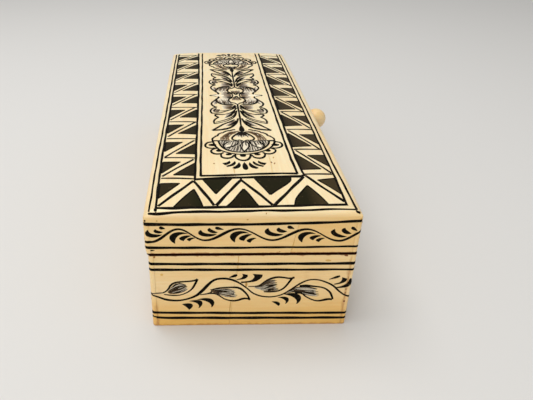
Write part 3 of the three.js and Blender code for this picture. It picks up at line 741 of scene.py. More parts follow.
def cotton_velvet(colours):
    """Short cotton velvet glued over card: deep red, brushed in patches of 14 mm, bright at
    grazing angles. Its tufts are drawn 0.35 mm apart, coarser than real ones, so that they
    show."""
    material, tree, shader = new_material("Deep red cotton velvet")
    node = functools.partial(add_node, tree)
    place = node("TexCoord", out="Object")
    patches = {"Vector": place, "Scale": 1 / (14 * MM), "Detail": 4.0, "Distortion": 0.3}
    brushed = node("MapRange", (node("TexNoise", patches), 0.25, 0.8))
    tuft = node("TexNoise", {"Vector": place, "Scale": 1 / (0.35 * MM), "Detail": 2.0})
    layers = {0: brushed, 6: four(colours.velvet_deep), 7: four(colours.velvet_light)}
    set_inputs(tree, shader, {
        "Base Color": node("Mix", layers, 2, data_type="RGBA"),
        "Normal": node("Bump", {"Strength": 0.6, "Distance": 0.15 * MM, "Height": tuft}),
        "Roughness": 0.9,
        "Sheen Weight": 0.8,
        "Sheen Roughness": 0.35,
        "Sheen Tint": four(colours.velvet_sheen),
    })
    return material


def shisham_wood(colours):
    """Shisham boards, planed and left raw: brown with darker growth streaks along the box, about
    1.2 mm wide and 25 mm long."""
    material, tree, shader = new_material("Raw shisham wood")
    node = functools.partial(add_node, tree)
    place = node("TexCoord", out="Object")
    run = node("VectorMath", (place, (1 / MM, 0.05 / MM, 1 / MM)), operation="MULTIPLY")
    grain = node("TexNoise", {"Vector": run, "Scale": 0.8, "Detail": 5.0, "Roughness": 0.65})
    dark = node("MapRange", (grain, 0.3, 0.7))
    layers = {0: dark, 6: four(colours.wood_light), 7: four(colours.wood_dark)}
    set_inputs(tree, shader, {
        "Base Color": node("Mix", layers, 2, data_type="RGBA"),
        "Normal": node("Bump", {"Strength": 0.5, "Distance": 0.06 * MM, "Height": grain}),
        "Roughness": 0.62,
    })
    return material


def aged_brass(colours):
    """Sheet and wire brass, filed bright and since browned by hands and wax, in patches of
    3.5 mm."""
    material, tree, shader = new_material("Aged filed brass")
    node = functools.partial(add_node, tree)
    place = node("TexCoord", out="Object")
    patina = node("TexNoise", {"Vector": place, "Scale": 1 / (3.5 * MM), "Detail": 2.0})
    dull = node("MapRange", (patina, 0.45, 0.95))
    layers = {0: dull, 6: four(colours.brass_bright), 7: four(colours.brass_brown)}
    set_inputs(tree, shader, {
        "Base Color": node("Mix", layers, 2, data_type="RGBA"),
        "Roughness": node("MapRange", (patina, 0.4, 0.7, 0.28, 0.55)),
        "Metallic": 1.0,
    })
    return material


MAKERS = {
    "bone": polished_camel_bone,
    "ink": rubbed_ink,
    "stain": soaked_stain,
    "lac": black_lac,
    "velvet": cotton_velvet,
    "wood": shisham_wood,
    "brass": aged_brass,
}
_made = {}


def material(kind):
    """The finish of that kind, made once and shared."""
    if kind not in _made:
        _made[kind] = MAKERS[kind](bpy.context.scene.keepsake_colours)
    return _made[kind]


# Values that a user would change


def colour_value(name, description, code):
    """Colour property whose default is an sRGB hex code."""
    return bpy.props.FloatVectorProperty(
        name=name, description=description, subtype="COLOR", size=3, min=0, max=1, default=linear(code)
    )


class KeepsakeColours(bpy.types.PropertyGroup):
    """Colours of the box's finishes and of the studio."""

    bone_pale: colour_value("Pale bone", "Fresh bone on the lid's top", "#fdecc2")
    # The honey colour also carries the painted shade of the sides and the foot
    bone_honey_and_shade: colour_value("Honey bone", "Handled bone near the foot", "#e9b95e")
    bone_streak: colour_value("Bone streak", "Tint of the streaks along the grain", "#f0cf95")
    stain: colour_value("Stain", "Clouds and pores in the bone", "#c58f4c")
    rust: colour_value("Rust stain", "Orange brown dirt along joints", "#9c5a1a")
    stain_deep: colour_value("Deep stain", "Specks and runs of old rust", "#7d430c")
    # Painted shade of the gap where the lid closes as well as dirt
    seam_dirt_and_shade: colour_value("Seam dirt", "Dark dirt where the lid closes", "#250f06")
    ink_black: colour_value("Ink", "Full ink of the lines", "#0c0903")
    ink_dark: colour_value("Thin ink", "Ink where the pen is lighter", "#2a2318")
    ink_grey: colour_value("Grey ink", "Lilac grey of the thinned ink", "#a99c8d")
    ink_bare: colour_value("No ink", "Bone left white inside shaded parts", "#f8ecd0")
    ink_brown: colour_value("Brown ink", "Middle of the brown shading", "#8a6f4d")
    ink_umber: colour_value("Umber ink", "Darkest of the brown shading", "#33251a")
    lac_brown: colour_value("Brown black lac", "Lac in the triangles", "#201907")
    lac_green: colour_value("Green black lac", "Lac where it turns olive", "#1c1c05")
    velvet_deep: colour_value("Velvet shade", "Velvet brushed away", "#4a0b16")
    velvet_light: colour_value("Velvet light", "Velvet brushed up", "#74172a")
    velvet_sheen: colour_value("Velvet sheen", "Tips of the pile at grazing angles", "#d88a90")
    wood_light: colour_value("Light wood", "Raw wood between its streaks", "#8a5a34")
    wood_dark: colour_value("Dark wood", "Growth streaks of the wood", "#4b2c18")
    brass_bright: colour_value("Bright brass", "Brass where it is rubbed", "#d9b56a")
    brass_brown: colour_value("Brown brass", "Brass where it is dull", "#7d5c2c")
    floor: colour_value("Floor", "Plain studio floor", "#dcdad6")


def size_value(name, description, default, least):
    """Size property in millimetres, or a plain share where the description says so."""
    return bpy.props.FloatProperty(name=name, description=description, default=default, min=least)


class KeepsakeSizes(bpy.types.PropertyGroup):
    """Sizes of the finish that the frame doesn't set."""

    edge_round: size_value("Rubbed edge", "Width of the worn edge of each plate, in mm", 0.12, 0.02)
    plate_joint: size_value("Plate joint", "Gap between plates on the lid's top, in mm", 0.04, 0.01)
    knob_radius: size_value("Knob radius", "Radius of the turned ball, in mm", 5.2, 1)
    line_weight: size_value("Line weight", "Share by which every pen line is made wider", 1.75, 0.2)
    lining_swell: size_value("Lining swell", "How far the velvet pads stand up, in mm", 0.6, 0)


# Stage

CAMERA_PLACE = (-17.44, -250.48, 144.83)
CAMERA_TURN = -1.498
CAMERA_DOWN = 30.787
CAMERA_ROLL = 0.485
FOCAL_PIXELS = 506.0
PICTURE_WIDTH = 533
AXIS_COLUMN = 216.0
SENSOR = 36.0
FLOOR_HALF = 3000.0
SKY_STRENGTH = 0.48
# Lamps in metres and watts: name, place, target, size, power
LAMPS = (
    ("Overhead softbox", (-0.25, 0.05, 0.95), (0, 0, 0.03), 0.7, 5.4),
    ("Near fill", (-0.35, -0.9, 0.45), (0, -0.05, 0.03), 0.6, 3.0),
)


def soft_lamp(name, place, target, size, power):
    """Square area lamp that looks at its target. Metres and watts."""
    lamp = bpy.data.lights.new(name, "AREA")
    lamp.shape = "SQUARE"
    lamp.size = size
    lamp.energy = power
    holder = bpy.data.objects.new(name, lamp)
    bpy.context.scene.collection.objects.link(holder)
    holder.location = place
    holder.rotation_euler = (Vector(target) - Vector(place)).to_track_quat("-Z", "Y").to_euler()


class KEEPSAKE_OT_stage(bpy.types.Operator):
    """Camera at the photograph's angle, pale floor and soft lamps"""

    bl_idname = "keepsake.stage"
    bl_label = "Studio and camera"

    def execute(self, context):
        scene = context.scene
        scene.view_settings.view_transform = "Standard"
        camera = bpy.data.cameras.new("Camera")
        camera.sensor_width = SENSOR
        camera.lens = FOCAL_PIXELS / PICTURE_WIDTH * SENSOR
        camera.shift_x = (PICTURE_WIDTH / 2 - AXIS_COLUMN) / PICTURE_WIDTH
        camera.clip_start = 0.01
        camera.clip_end = 20
        holder = bpy.data.objects.new("Camera", camera)
        turn = Matrix.Rotation(math.radians(CAMERA_TURN), 4, "Z")
        tilt = Matrix.Rotation(math.radians(90 - CAMERA_DOWN), 4, "X")
        roll = Matrix.Rotation(math.radians(CAMERA_ROLL), 4, "Z")
        place = Matrix.Translation(Vector(CAMERA_PLACE) * MM)
        holder.matrix_world = place @ turn @ tilt @ roll
        scene.collection.objects.link(holder)
        scene.camera = holder

        finish, tree, shader = new_material("Matt studio paper")
        paper = four(scene.keepsake_colours.floor)
        set_inputs(tree, shader, {"Base Color": paper, "Roughness": 0.9})
        points = FLOOR_HALF * np.array([[-1, -1, 0], [1, -1, 0], [1, 1, 0], [-1, 1, 0]])
        floor = mesh_piece("studio_floor", points, [[0, 1, 2, 3]], finish)

        world = bpy.data.worlds.new("Studio light")
        scene.world = world
        world.use_nodes = True
        sky = world.node_tree.nodes["Background"]
        sky.inputs["Color"].default_value = (1, 1, 1, 1)
        sky.inputs["Strength"].default_value = SKY_STRENGTH
        for lamp in LAMPS:
            soft_lamp(*lamp)
        return {"FINISHED"}


# Bone plates

# Joints between the plates on the lid's top, which run under ink lines where there are any
NEAR_JOINT = -82.0
SIDE_JOINT_PLACE = 8.0
PANEL_EDGES = (-20.75, 19.6)
PANEL_JOINTS = (-5.6, 9.3)
EDGING_WIDTH = 3.4
# Spacing of a top plate's grid, across and along the box, in mm
PLATE_CELL = (1.5, 3.0)
# Angle in degrees from which an edge is sharp, and up to which two faces are one flat
SHARP_ANGLE = 30
FLAT_ANGLE = 0.3
MERGE_METRES = 1e-6
# Painted shade: share of honey that the strips, the base's sides and the lid's sides have beside the lit
# top
STRIP_SHADE_TONE = 0.02
BASE_SIDE_SHADE = 0.06
LID_SIDE_SHADE = 0.15


def crown_plate(x0, x1, y0, y1):
    """Plate of the lid's top: a grid on the crown over a flat grid at its underside."""
    columns = int((x1 - x0) / PLATE_CELL[0]) + 2
    rows = int((y1 - y0) / PLATE_CELL[1]) + 2
    x, y = np.meshgrid(np.linspace(x0, x1, columns), np.linspace(y0, y1, rows))
    upper = np.stack([x, y, top_height(x, y)], axis=-1)
    lower = np.stack([x, y, np.full_like(x, TOP_PLATE_BOTTOM)], axis=-1)
    return shell(upper, lower)


def polished_copy(node, edge_round):
    """Copy of a frame plate, its points merged and its flats joined, with rubbed edges."""
    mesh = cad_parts[node].data.copy()
    mesh.name = f"polished_{node}"
    work = bmesh.new()
    work.from_mesh(mesh)
    bmesh.ops.remove_doubles(work, verts=work.verts, dist=MERGE_METRES)
    flat = math.radians(FLAT_ANGLE)
    bmesh.ops.dissolve_limit(work, angle_limit=flat, verts=work.verts, edges=work.edges)
    work.to_mesh(mesh)
    work.free()
    for name in ("custom_normal", "sharp_face"):
        if name in mesh.attributes:
            mesh.attributes.remove(mesh.attributes[name])
    mesh.shade_smooth()
    mesh.set_sharp_from_angle(angle=math.radians(SHARP_ANGLE))
    mesh.materials.clear()
    mesh.materials.append(material("bone"))
    piece = bpy.data.objects.new(mesh.name, mesh)
    bpy.context.scene.collection.objects.link(piece)
    edge = piece.modifiers.new("Rubbed edges", "BEVEL")
    edge.width = edge_round * MM
    edge.segments = 2
    edge.limit_method = "ANGLE"
    edge.angle_limit = math.radians(SHARP_ANGLE)
    edge.harden_normals = True
    return piece


class KEEPSAKE_OT_side_plates(bpy.types.Operator):
    """Bone plates of the sides, rim and edging, each with its own grain and tone, and more honey than the
    lit top as painted shade
    """

    bl_idname = "keepsake.side_plates"
    bl_label = "Side plates and edging"

    def execute(self, context):
        tones = np.random.default_rng(11).uniform(-0.06, 0.08, len(BONE_NODES))
        for name, tone in zip(BONE_NODES, tones):
            piece = polished_copy(name, context.scene.keepsake_sizes.edge_round)
            across = "_near_" in name or "_far_" in name or name.endswith(("_near", "_far"))
            body = name.split("_")[0]
            # Painted shade: the side plates and strips are made more honey than the lit top
            side_shade = STRIP_SHADE_TONE
            if "plate" in name:
                side_shade = BASE_SIDE_SHADE if body == "base" else LID_SIDE_SHADE
            grain_marks(piece, "x" if across else "y", tone + side_shade)
            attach(piece, body)
            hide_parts(name)
        return {"FINISHED"}


class KEEPSAKE_OT_top_plates(bpy.types.Operator):
    """Crowned bone plates of the lid's top, butted under the ink lines"""

    bl_idname = "keepsake.top_plates"
    bl_label = "Lid top plates"

    def execute(self, context):
        gap = context.scene.keepsake_sizes.plate_joint / 2
        inset = EDGING_WIDTH + gap
        x0, x1 = LID_SHIFT - LID_HALF + inset, LID_SHIFT + LID_HALF - inset
        y0, y1 = -HALF_LENGTH + inset, HALF_LENGTH - inset
        left, right = PANEL_EDGES
        middle = SIDE_JOINT_PLACE
        xs = [left, *PANEL_JOINTS, right]
        plates = {"near": (x0, x1, y0, NEAR_JOINT)}
        for k, (a, b) in enumerate([(NEAR_JOINT, middle), (middle, y1)]):
            plates[f"back_{k + 1}"] = (x0, left, a, b)
            plates[f"front_{k + 1}"] = (right, x1, a, b)
        for k in range(3):
            plates[f"centre_{k + 1}"] = (xs[k], xs[k + 1], NEAR_JOINT, y1)
        tones = np.random.default_rng(5).uniform(-0.05, 0.04, len(plates))
        for (name, (a, b, c, d)), tone in zip(plates.items(), tones):
            points, faces = crown_plate(a + gap, b - gap, c + gap, d - gap)
            title = f"polished_lid_top_plate_{name}"
            piece = mesh_piece(title, points, faces, material("bone"), SHARP_ANGLE)
            grain_marks(piece, "y", tone)
            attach(piece, "lid")
            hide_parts(f"lid_top_plate_{name}")
        return {"FINISHED"}


class KEEPSAKE_OT_wood_and_brass(bpy.types.Operator):
    """Finish of the wooden case and of the brass hinges, which keep their frame meshes"""

    bl_idname = "keepsake.wood_and_brass"
    bl_label = "Wood and brass"

    def execute(self, context):
        for name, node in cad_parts.items():
            if name.endswith(("_board", "_rail")):
                kind = "wood"
            elif name.startswith("hinge"):
                kind = "brass"
            else:
                continue
            node.data.materials.clear()
            node.data.materials.append(material(kind))
        return {"FINISHED"}


# Turned knob, in mm: the ball's middle and its flat seat out from the lid's side. Then its
# facets, the angle in degrees from which its edges are sharp, and its tone.
KNOB_STAND_OFF = 3.4
KNOB_SEAT = 0.04
KNOB_SIDES = 48
KNOB_SHARP_ANGLE = 40
KNOB_TONE = -0.1
# Dowel: radius, length and bevel at its end
DOWEL = 1.8
DOWEL_LENGTH = 5.0
DOWEL_BEVEL = 0.4


class KEEPSAKE_OT_knob(bpy.types.Operator):
    """Turned bone knob with its dowel"""

    bl_idname = "keepsake.knob"
    bl_label = "Knob"

    def execute(self, context):
        low, high = corners("knob")
        centre_y, centre_z = (low[1] + high[1]) / 2, (low[2] + high[2]) / 2
        radius = context.scene.keepsake_sizes.knob_radius
        # The ball is cut flat where it meets the lid
        start = math.acos((KNOB_STAND_OFF - KNOB_SEAT) / radius)
        angle = np.linspace(start, math.pi, 30)
        ball = np.column_stack([radius * np.sin(angle), KNOB_STAND_OFF - radius * np.cos(angle)])
        end = -DOWEL_LENGTH
        dowel = [(0, end), (DOWEL - DOWEL_BEVEL, end), (DOWEL, DOWEL_BEVEL + end), (DOWEL, KNOB_SEAT)]
        profile = np.vstack([dowel, ball])
        profile[-1, 0] = 0
        points, faces = lathe(profile, KNOB_SIDES)
        turned = points[:, [2, 0, 1]] + (LID_HIGH[0], centre_y, centre_z)
        piece = mesh_piece("turned_knob", turned, faces, material("bone"), KNOB_SHARP_ANGLE)
        grain_marks(piece, "x", KNOB_TONE)
        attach(piece, "lid")
        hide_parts("knob")
        return {"FINISHED"}


# Velvet pads, in mm: spacing of their grids, depth of the nap under the frame's face, and height
# of its ripple. Then the angle in degrees from which a pad's edge is sharp.
PAD_CELL = 1.6
NAP_DEPTH = 0.08
RIPPLE = 0.06
PAD_SHARP_ANGLE = 50
# Lining and its shown face: axis, and +1 or -1 for the way that the face looks along it
PADS = {
    "base_lining_floor": (2, 1),
    "base_lining_front": (0, -1),
    "base_lining_back": (0, 1),
    "base_lining_near": (1, 1),
    "base_lining_far": (1, -1),
    "lid_lining": (2, -1),
}


def velvet_pad(node, face, swell):
    """Pad in a lining's own box. Its shown face is a grid, with u and v from -1 to 1 across it. It
    stands lower at the rim by swell times 1 - (1 - u^6)(1 - v^10), and has a ripple that fades to
    the rim. The rest is flat."""
    low, high = corners(node)
    axis, sign = face
    one, other = (k for k in range(3) if k != axis)
    middle, size = (low + high) / 2, high - low
    counts = [int(size[k] / PAD_CELL) + 6 for k in (one, other)]
    u, v = np.meshgrid(np.linspace(-1, 1, counts[0]), np.linspace(-1, 1, counts[1]))
    sink = swell * (1 - (1 - np.abs(u) ** 6) * (1 - np.abs(v) ** 10))
    ripple = RIPPLE * np.sin(9 * u + 2 * v) * np.sin(7 * v - u) * (1 - u**4) * (1 - v**4)
    upper = np.zeros((*u.shape, 3))
    upper[..., one] = middle[one] + u * size[one] / 2
    upper[..., other] = middle[other] + v * size[other] / 2
    lower = upper.copy()
    shown, hidden = (high[axis], low[axis]) if sign > 0 else (low[axis], high[axis])
    upper[..., axis] = shown - sign * (sink + NAP_DEPTH + ripple)
    lower[..., axis] = hidden
    points, faces = shell(upper, lower)
    turned = sign < 0 if axis != 1 else sign > 0
    return points, faces[:, ::-1] if turned else faces


class KEEPSAKE_OT_linings(bpy.types.Operator):
    """Velvet pads that line the compartment and the lid"""

    bl_idname = "keepsake.linings"
    bl_label = "Velvet linings"

    def execute(self, context):
        swell = context.scene.keepsake_sizes.lining_swell
        for node, face in PADS.items():
            points, quads = velvet_pad(node, face, swell)
            finish = material("velvet")
            piece = mesh_piece(f"velvet_{node}", points, quads, finish, PAD_SHARP_ANGLE)
            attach(piece, "lid" if node.startswith("lid") else "base")
            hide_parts(node)
        return {"FINISHED"}


# Ink on the ends and long sides


def ruled_lines(drawing, rows, waver, step):
    """Pen lines drawn along a rule: each row has its points and the widths along it."""
    for points, widths in rows:
        drawing.line(points, widths, waver=waver, step=step)


def vine(drawing, turns, mean, press):
    """Wavy stem whose pen line swells where it climbs and thins where it falls."""
    path, climb = wave(turns)
    drawing.line(path, mean + press * climb, waver=0.03, curved=False, step=VINE_STEP)


def stains(name, body, surface, rows, seed, bends=None):
    """Old marks in the bone, which fade to both ends: each row has its line, width and
    strength."""
    drawing = Drawing(surface, seed, WASH_LIFT, bends)
    for points, width, strength in rows:
        drawing.line(points, [0.5 * width, width, 0.5 * width], strength, 0.02, step=0.5)
    drawing.make(name, body, material("stain"))


# Ruled lines of the lid's end: points and widths
LID_RULES = (
    ([(-38.8, 47.85), (-20, 47.65), (0, 47.65), (20, 48.05), (37.6, 48.75)], [0.74, 0.64, 0.6]),
    ([(-38.8, 37.95), (-20, 37.7), (0, 37.65), (37.8, 37.85)], [0.64, 0.54, 0.46]),
)
# Turning points of the lid's vine
LID_TURNS = [
    (-38.9, 40.2), (-36.5, 40.35), (-26.75, 45.8), (-17.4, 40.9), (-5.5, 45.8),
    (6.6, 40.8), (18.25, 45.45), (30.4, 40.3), (39.5, 44.6),
]
# Commas above and below the vine: form, side, tip and tail, fatness
LID_COMMAS = (
    (SCOOP, -1, [(-37.4, 45.5), (-32.4, 43.5)], 1.15), (DAB, -1, [(-34.7, 45.8), (-32.1, 44.6)], 1.05),
    (SCOOP, -1, [(-18.9, 45.4), (-13.2, 43.6)], 0.9), (DAB, -1, [(-15.7, 46.2), (-12.9, 44.3)], 0.95),
    (SCOOP, -1, [(4.7, 46.0), (10.2, 43.3)], 0.98), (DAB, -1, [(8.5, 46.2), (11.5, 44.6)], 1.05),
    (SCOOP, -1, [(28.2, 45.4), (32.9, 42.2)], 0.95), (DAB, -1, [(31.8, 45.9), (34.4, 43.5)], 1.1),
    (HOOK, 1, [(-28.1, 39.6), (-23.3, 43.7)], 1.0), (PLUMP, 1, [(-25.0, 40.7), (-22.2, 42.8)], 0.95),
    (PLUMP, 1, [(-22.8, 40.6), (-20.8, 41.9)], 0.95),
    (HOOK, 1, [(-6.9, 40.0), (-1.9, 43.8)], 1.0), (PLUMP, 1, [(-3.6, 40.6), (-0.8, 43.3)], 0.95),
    (PLUMP, 1, [(-1.3, 39.8), (0.8, 41.7)], 1.0),
    (HOOK, 1, [(17.1, 39.8), (21.8, 43.3)], 1.0), (PLUMP, 1, [(21.0, 40.7), (23.7, 42.5)], 0.95),
    (PLUMP, 1, [(23.2, 39.9), (25.2, 41.5)], 1.0),
)
# Drops over the vine and in two corners: blunt end, tail and width
LID_CORNER_DROPS = (((-36.9, 36.6), (-35.4, 36.7), 0.7), ((-38.4, 49.1), (-37.9, 49.3), 0.9))
LID_DROPS = (
    ((-33.3, 46.5), (-31.3, 46.0), 1.3), ((-13.8, 46.3), (-10.9, 45.5), 1.3),
    ((11.5, 46.6), (13.9, 45.7), 1.3), ((34.1, 46.1), (36.3, 44.6), 1.3),
)


def lid_end_marks(d):
    """Vine with commas between ruled lines on the lid's end."""
    ruled_lines(d, LID_RULES, 0.05, 2)
    for drop in LID_CORNER_DROPS:
        d.drop(*drop)
    vine(d, LID_TURNS, 0.46, 0.15)
    for form, turn, (tip, tail), fat in LID_COMMAS:
        d.comma(tip, tail, turn, form, fat)
    for drop in LID_DROPS:
        d.drop(*drop)


# Ruled lines of the base's end: points and widths
BASE_RULES = (
    ([(-38.3, 30.6), (-19, 30.4), (0, 30.25), (38.3, 30.2)], [0.66, 0.66, 0.7]),
    ([(-38.3, 28.0), (-19, 27.75), (0, 27.6), (38.3, 27.35)], [0.68, 0.62, 0.52]),
    ([(-38.3, 6.95), (-19, 6.55), (0, 6.25), (38.3, 5.9)], [0.7, 0.68, 0.64]),
    ([(-36.4, 4.5), (-30, 4.1), (0, 3.7), (38.3, 3.35)], [0.7, 0.76, 0.68]),
    ([(-38.2, 5.0), (-36.2, 4.65)], [0.5, 0.4]),
)
BASE_VINE = [
    (-38.3, 16.2), (-35.5, 15.0), (-32, 13.4), (-28, 12.95), (-24.5, 13.6), (-21, 15.2), (-18.5, 17.8),
    (-16.2, 20.8), (-14, 22.9), (-11.5, 23.55), (-8.6, 23.3), (-5.5, 21.9), (-2, 19.1), (0.8, 16.3),
    (4, 14.8), (8, 14.45), (11.8, 15.5), (15, 17.9), (18, 20.6), (20.8, 22.3), (23.6, 22.7), (26.5, 22.1),
    (30.5, 20.0), (33.2, 17.2), (35.6, 15.2), (38.4, 13.9),
]
BASE_VINE_WIDTHS = [
    0.38, 0.45, 0.52, 0.5, 0.48, 0.56, 0.68, 0.7, 0.62, 0.54, 0.46, 0.38, 0.36, 0.36,
    0.32, 0.32, 0.35, 0.38, 0.38, 0.36, 0.36, 0.36, 0.38, 0.4, 0.42, 0.46,
]
# Thin tendrils between the vine and its leaves: points, widths and ink
BASE_TENDRILS = (
    ([(-38.3, 16.4), (-35.5, 16.7), (-33.2, 16.9)], [0.22, 0.26, 0.3], 0.75),
    ([(-19.3, 15.8), (-17.2, 16.1), (-15.6, 16.6), (-14.8, 17.6)], [0.2, 0.34, 0.34], 0.8),
    ([(-1.2, 19.6), (1.6, 19.65), (3.2, 20.2)], [0.2, 0.26, 0.36], 0.8),
    ([(12.2, 15.9), (13.8, 16.9), (15.6, 18.4)], [0.2, 0.24, 0.2], 0.8),
)


class Leaf(NamedTuple):
    """Two outlines with the widths along them, the two guides of the shading between them, and
    its number of strokes."""

    upper: list
    upper_widths: list
    lower: list
    lower_widths: list
    guide_a: list
    guide_b: list
    strokes: int

    def moved(self, shift):
        """The same leaf elsewhere on the face."""
        names = ("upper", "lower", "guide_a", "guide_b")
        return self._replace(**{name: np.array(getattr(self, name)) + shift for name in names})

    def left_end(self):
        """The least u that the leaf reaches."""
        return min(u for path in (self.upper, self.lower, self.guide_a, self.guide_b) for u, _ in path)


LEAVES = (
    Leaf(
        [(-33.3, 16.8), (-32.2, 17.5), (-31.2, 18.7), (-30.5, 20.2), (-29.4, 21.3), (-28, 21.9),
         (-25.5, 22.2), (-23, 22.45), (-21, 22.9), (-20.2, 23.4)],
        [0.3, 0.42, 0.55, 0.42, 0.36, 0.38, 0.5],
        [(-20.3, 23.3), (-21, 21.5), (-21.7, 19.8), (-22.7, 18.2), (-24.4, 16.8), (-26.5, 15.8),
         (-28.5, 15.5), (-31, 15.65), (-33, 16.1)],
        [0.42, 0.5, 0.36, 0.26, 0.34, 0.22],
        [(-31.6, 17.3), (-29.8, 20.0), (-27.2, 21.6), (-24.6, 20.9)],
        [(-31.2, 16.3), (-28.2, 16.3), (-25.6, 17.3), (-23.4, 18.9)],
        64,
    ),
    Leaf(
        [(-15.2, 17.8), (-14, 18.5), (-12, 19.0), (-10, 19.2), (-7, 19.3), (-5, 19.15), (-3.7, 18.4),
         (-2.5, 17.1), (-1.2, 15.1), (-0.4, 13.1)],
        [0.3, 0.36, 0.42, 0.5, 0.4, 0.42],
        [(-16.4, 16.4), (-14, 16.4), (-12.7, 15.8), (-11.5, 14.8), (-10.2, 13.7), (-8.5, 12.95),
         (-6.8, 12.65), (-5, 12.85), (-3.8, 13.4), (-2.2, 13.7), (-1, 13.5), (-0.3, 12.9)],
        [0.34, 0.4, 0.34, 0.36, 0.44, 0.52, 0.4],
        [(-15.6, 18.4), (-12, 18.7), (-8.5, 18.7), (-5.6, 17.4)],
        [(-14.6, 16.8), (-11.5, 15.6), (-9, 14.6), (-4.7, 14.3)],
        64,
    ),
    Leaf(
        [(3, 20.1), (4.2, 21.2), (5.3, 22.3), (6.8, 23.2), (8.5, 23.8), (10.2, 23.95), (12.5, 23.6),
         (14.2, 23.25), (15.3, 23.5), (15.9, 23.8)],
        [0.36, 0.4, 0.5, 0.42, 0.4, 0.6],
        [(14.9, 23.2), (14, 21.5), (13, 19.7), (11.8, 18.2), (10.3, 17.3), (8.6, 16.9), (6.6, 16.8),
         (4.8, 17.0)],
        [0.55, 0.5, 0.46, 0.36, 0.32, 0.3],
        [(0.9, 19.4), (4.2, 20.7), (6.2, 22.5), (9.4, 22.9)],
        [(1.2, 18.9), (4, 17.8), (7, 17.1), (10.6, 17.9)],
        72,
    ),
    Leaf(
        [(18.2, 19.6), (20.5, 19.9), (22.5, 19.6), (25, 19.2), (27, 18.75), (28.7, 17.8), (30.2, 16.2),
         (31, 14.4), (31.5, 12.9)],
        [0.55, 0.55, 0.42, 0.4, 0.42, 0.46, 0.36],
        [(16.6, 16.3), (18.8, 16.25), (20, 15.6), (20.8, 14.6), (22.3, 13.6), (24, 12.65), (26, 12.15),
         (28, 12.5), (29.8, 12.95), (31.3, 12.8)],
        [0.4, 0.46, 0.34, 0.36, 0.42, 0.58, 0.44],
        [(13.4, 16.7), (17, 19.0), (21, 19.2), (25.4, 18.2)],
        [(13.6, 16.3), (17.5, 16.7), (21.6, 14.9), (26.6, 14.2)],
        80,
    ),
)
# Marks over the vine's crests: blunt end, tail and width of a drop, then brush strokes, each
# between an outer and an inner edge
CRESTS = (
    (
        ((-5.5, 25.2), (-8.4, 24.0), 1.3),
        (
            [(-1.6, 25.2), (-1.7, 24.2), (-3.0, 23.2), (-5.7, 22.8)],
            [(-3.7, 25.7), (-3.4, 24.7), (-4.1, 23.7), (-5.7, 23.1)],
        ),
        (
            [(3.9, 25.3), (3.8, 24.2), (2.6, 22.8), (0.5, 21.8), (-4, 21.3)],
            [(0.2, 25.6), (0.9, 24.4), (0.2, 23.0), (-1.2, 22.3), (-4, 22.0)],
        ),
    ),
    (
        ((32.9, 24.3), (29.0, 22.7), 1.15),
        (
            [(35.8, 23.0), (35.4, 21.7), (33.8, 20.7), (31.2, 20.1)],
            [(33.8, 23.7), (33.8, 22.3), (33, 21.2), (31.2, 20.6)],
        ),
        (
            [(37.2, 23.2), (38.1, 21.6), (37.8, 20.0), (35.8, 18.8), (32.1, 18.4)],
            [(36.7, 23.0), (36.1, 21.1), (35, 20), (33.6, 19.3), (32.1, 18.9)],
        ),
    ),
)
# Claws below the vine: form, tip, tail and fatness
BASE_CLAWS = (
    (CLAW, (-14.9, 9.4), (-20.5, 13.4), 1.02),
    (CLAW, (-19.9, 9.0), (-23.6, 12.6), 1.35),
    (WEDGE, (-23.6, 8.2), (-26.3, 11.1), 0.95),
    (WEDGE, (10.9, 9.7), (8.1, 12.0), 0.55),
    (CLAW, (13.5, 10.8), (10.2, 14.1), 1.2),
    (CLAW, (17.9, 10.7), (12.1, 15.7), 1.05),
)


def shaded_leaf(d, leaf):
    """Two pen lines that meet in the tip round a patch of brush strokes. A wash lies under the
    first part of the strokes, which run out raggedly past it."""
    d.line(leaf.upper, leaf.upper_widths)
    d.line(leaf.lower, leaf.lower_widths)
    guides = leaf.guide_a, leaf.guide_b
    d.fill(*guides, np.linspace(-0.68, -0.2, 12), np.linspace(0.04, 0.9, 12), WASH_LIFT)
    d.comb(*guides, leaf.strokes * 3 // 4, 0.25, (1.05, 0.7), (0.25, 0.55))
    d.comb(*guides, leaf.strokes // 3, 0.22, (-1.0, -0.7), (0.25, 0.55))
    d.comb(*guides, leaf.strokes // 8, 0.13, (0.12, 0.2), over=0.006)


def base_end_marks(d):
    """Vine with shaded leaves and commas between ruled lines on the base's end."""
    ruled_lines(d, BASE_RULES, 0.04, 2)
    d.line(BASE_VINE, BASE_VINE_WIDTHS, waver=0.03)
    for points, widths, ink in BASE_TENDRILS:
        d.line(points, widths, ink)
    for leaf in LEAVES:
        shaded_leaf(d, leaf)
    for drop, *strokes in CRESTS:
        d.drop(*drop)
        for outer, inner in strokes:
            d.fill(outer, inner)
    for form, tip, tail, fat in BASE_CLAWS:
        d.comma(tip, tail, -1, form, fat)


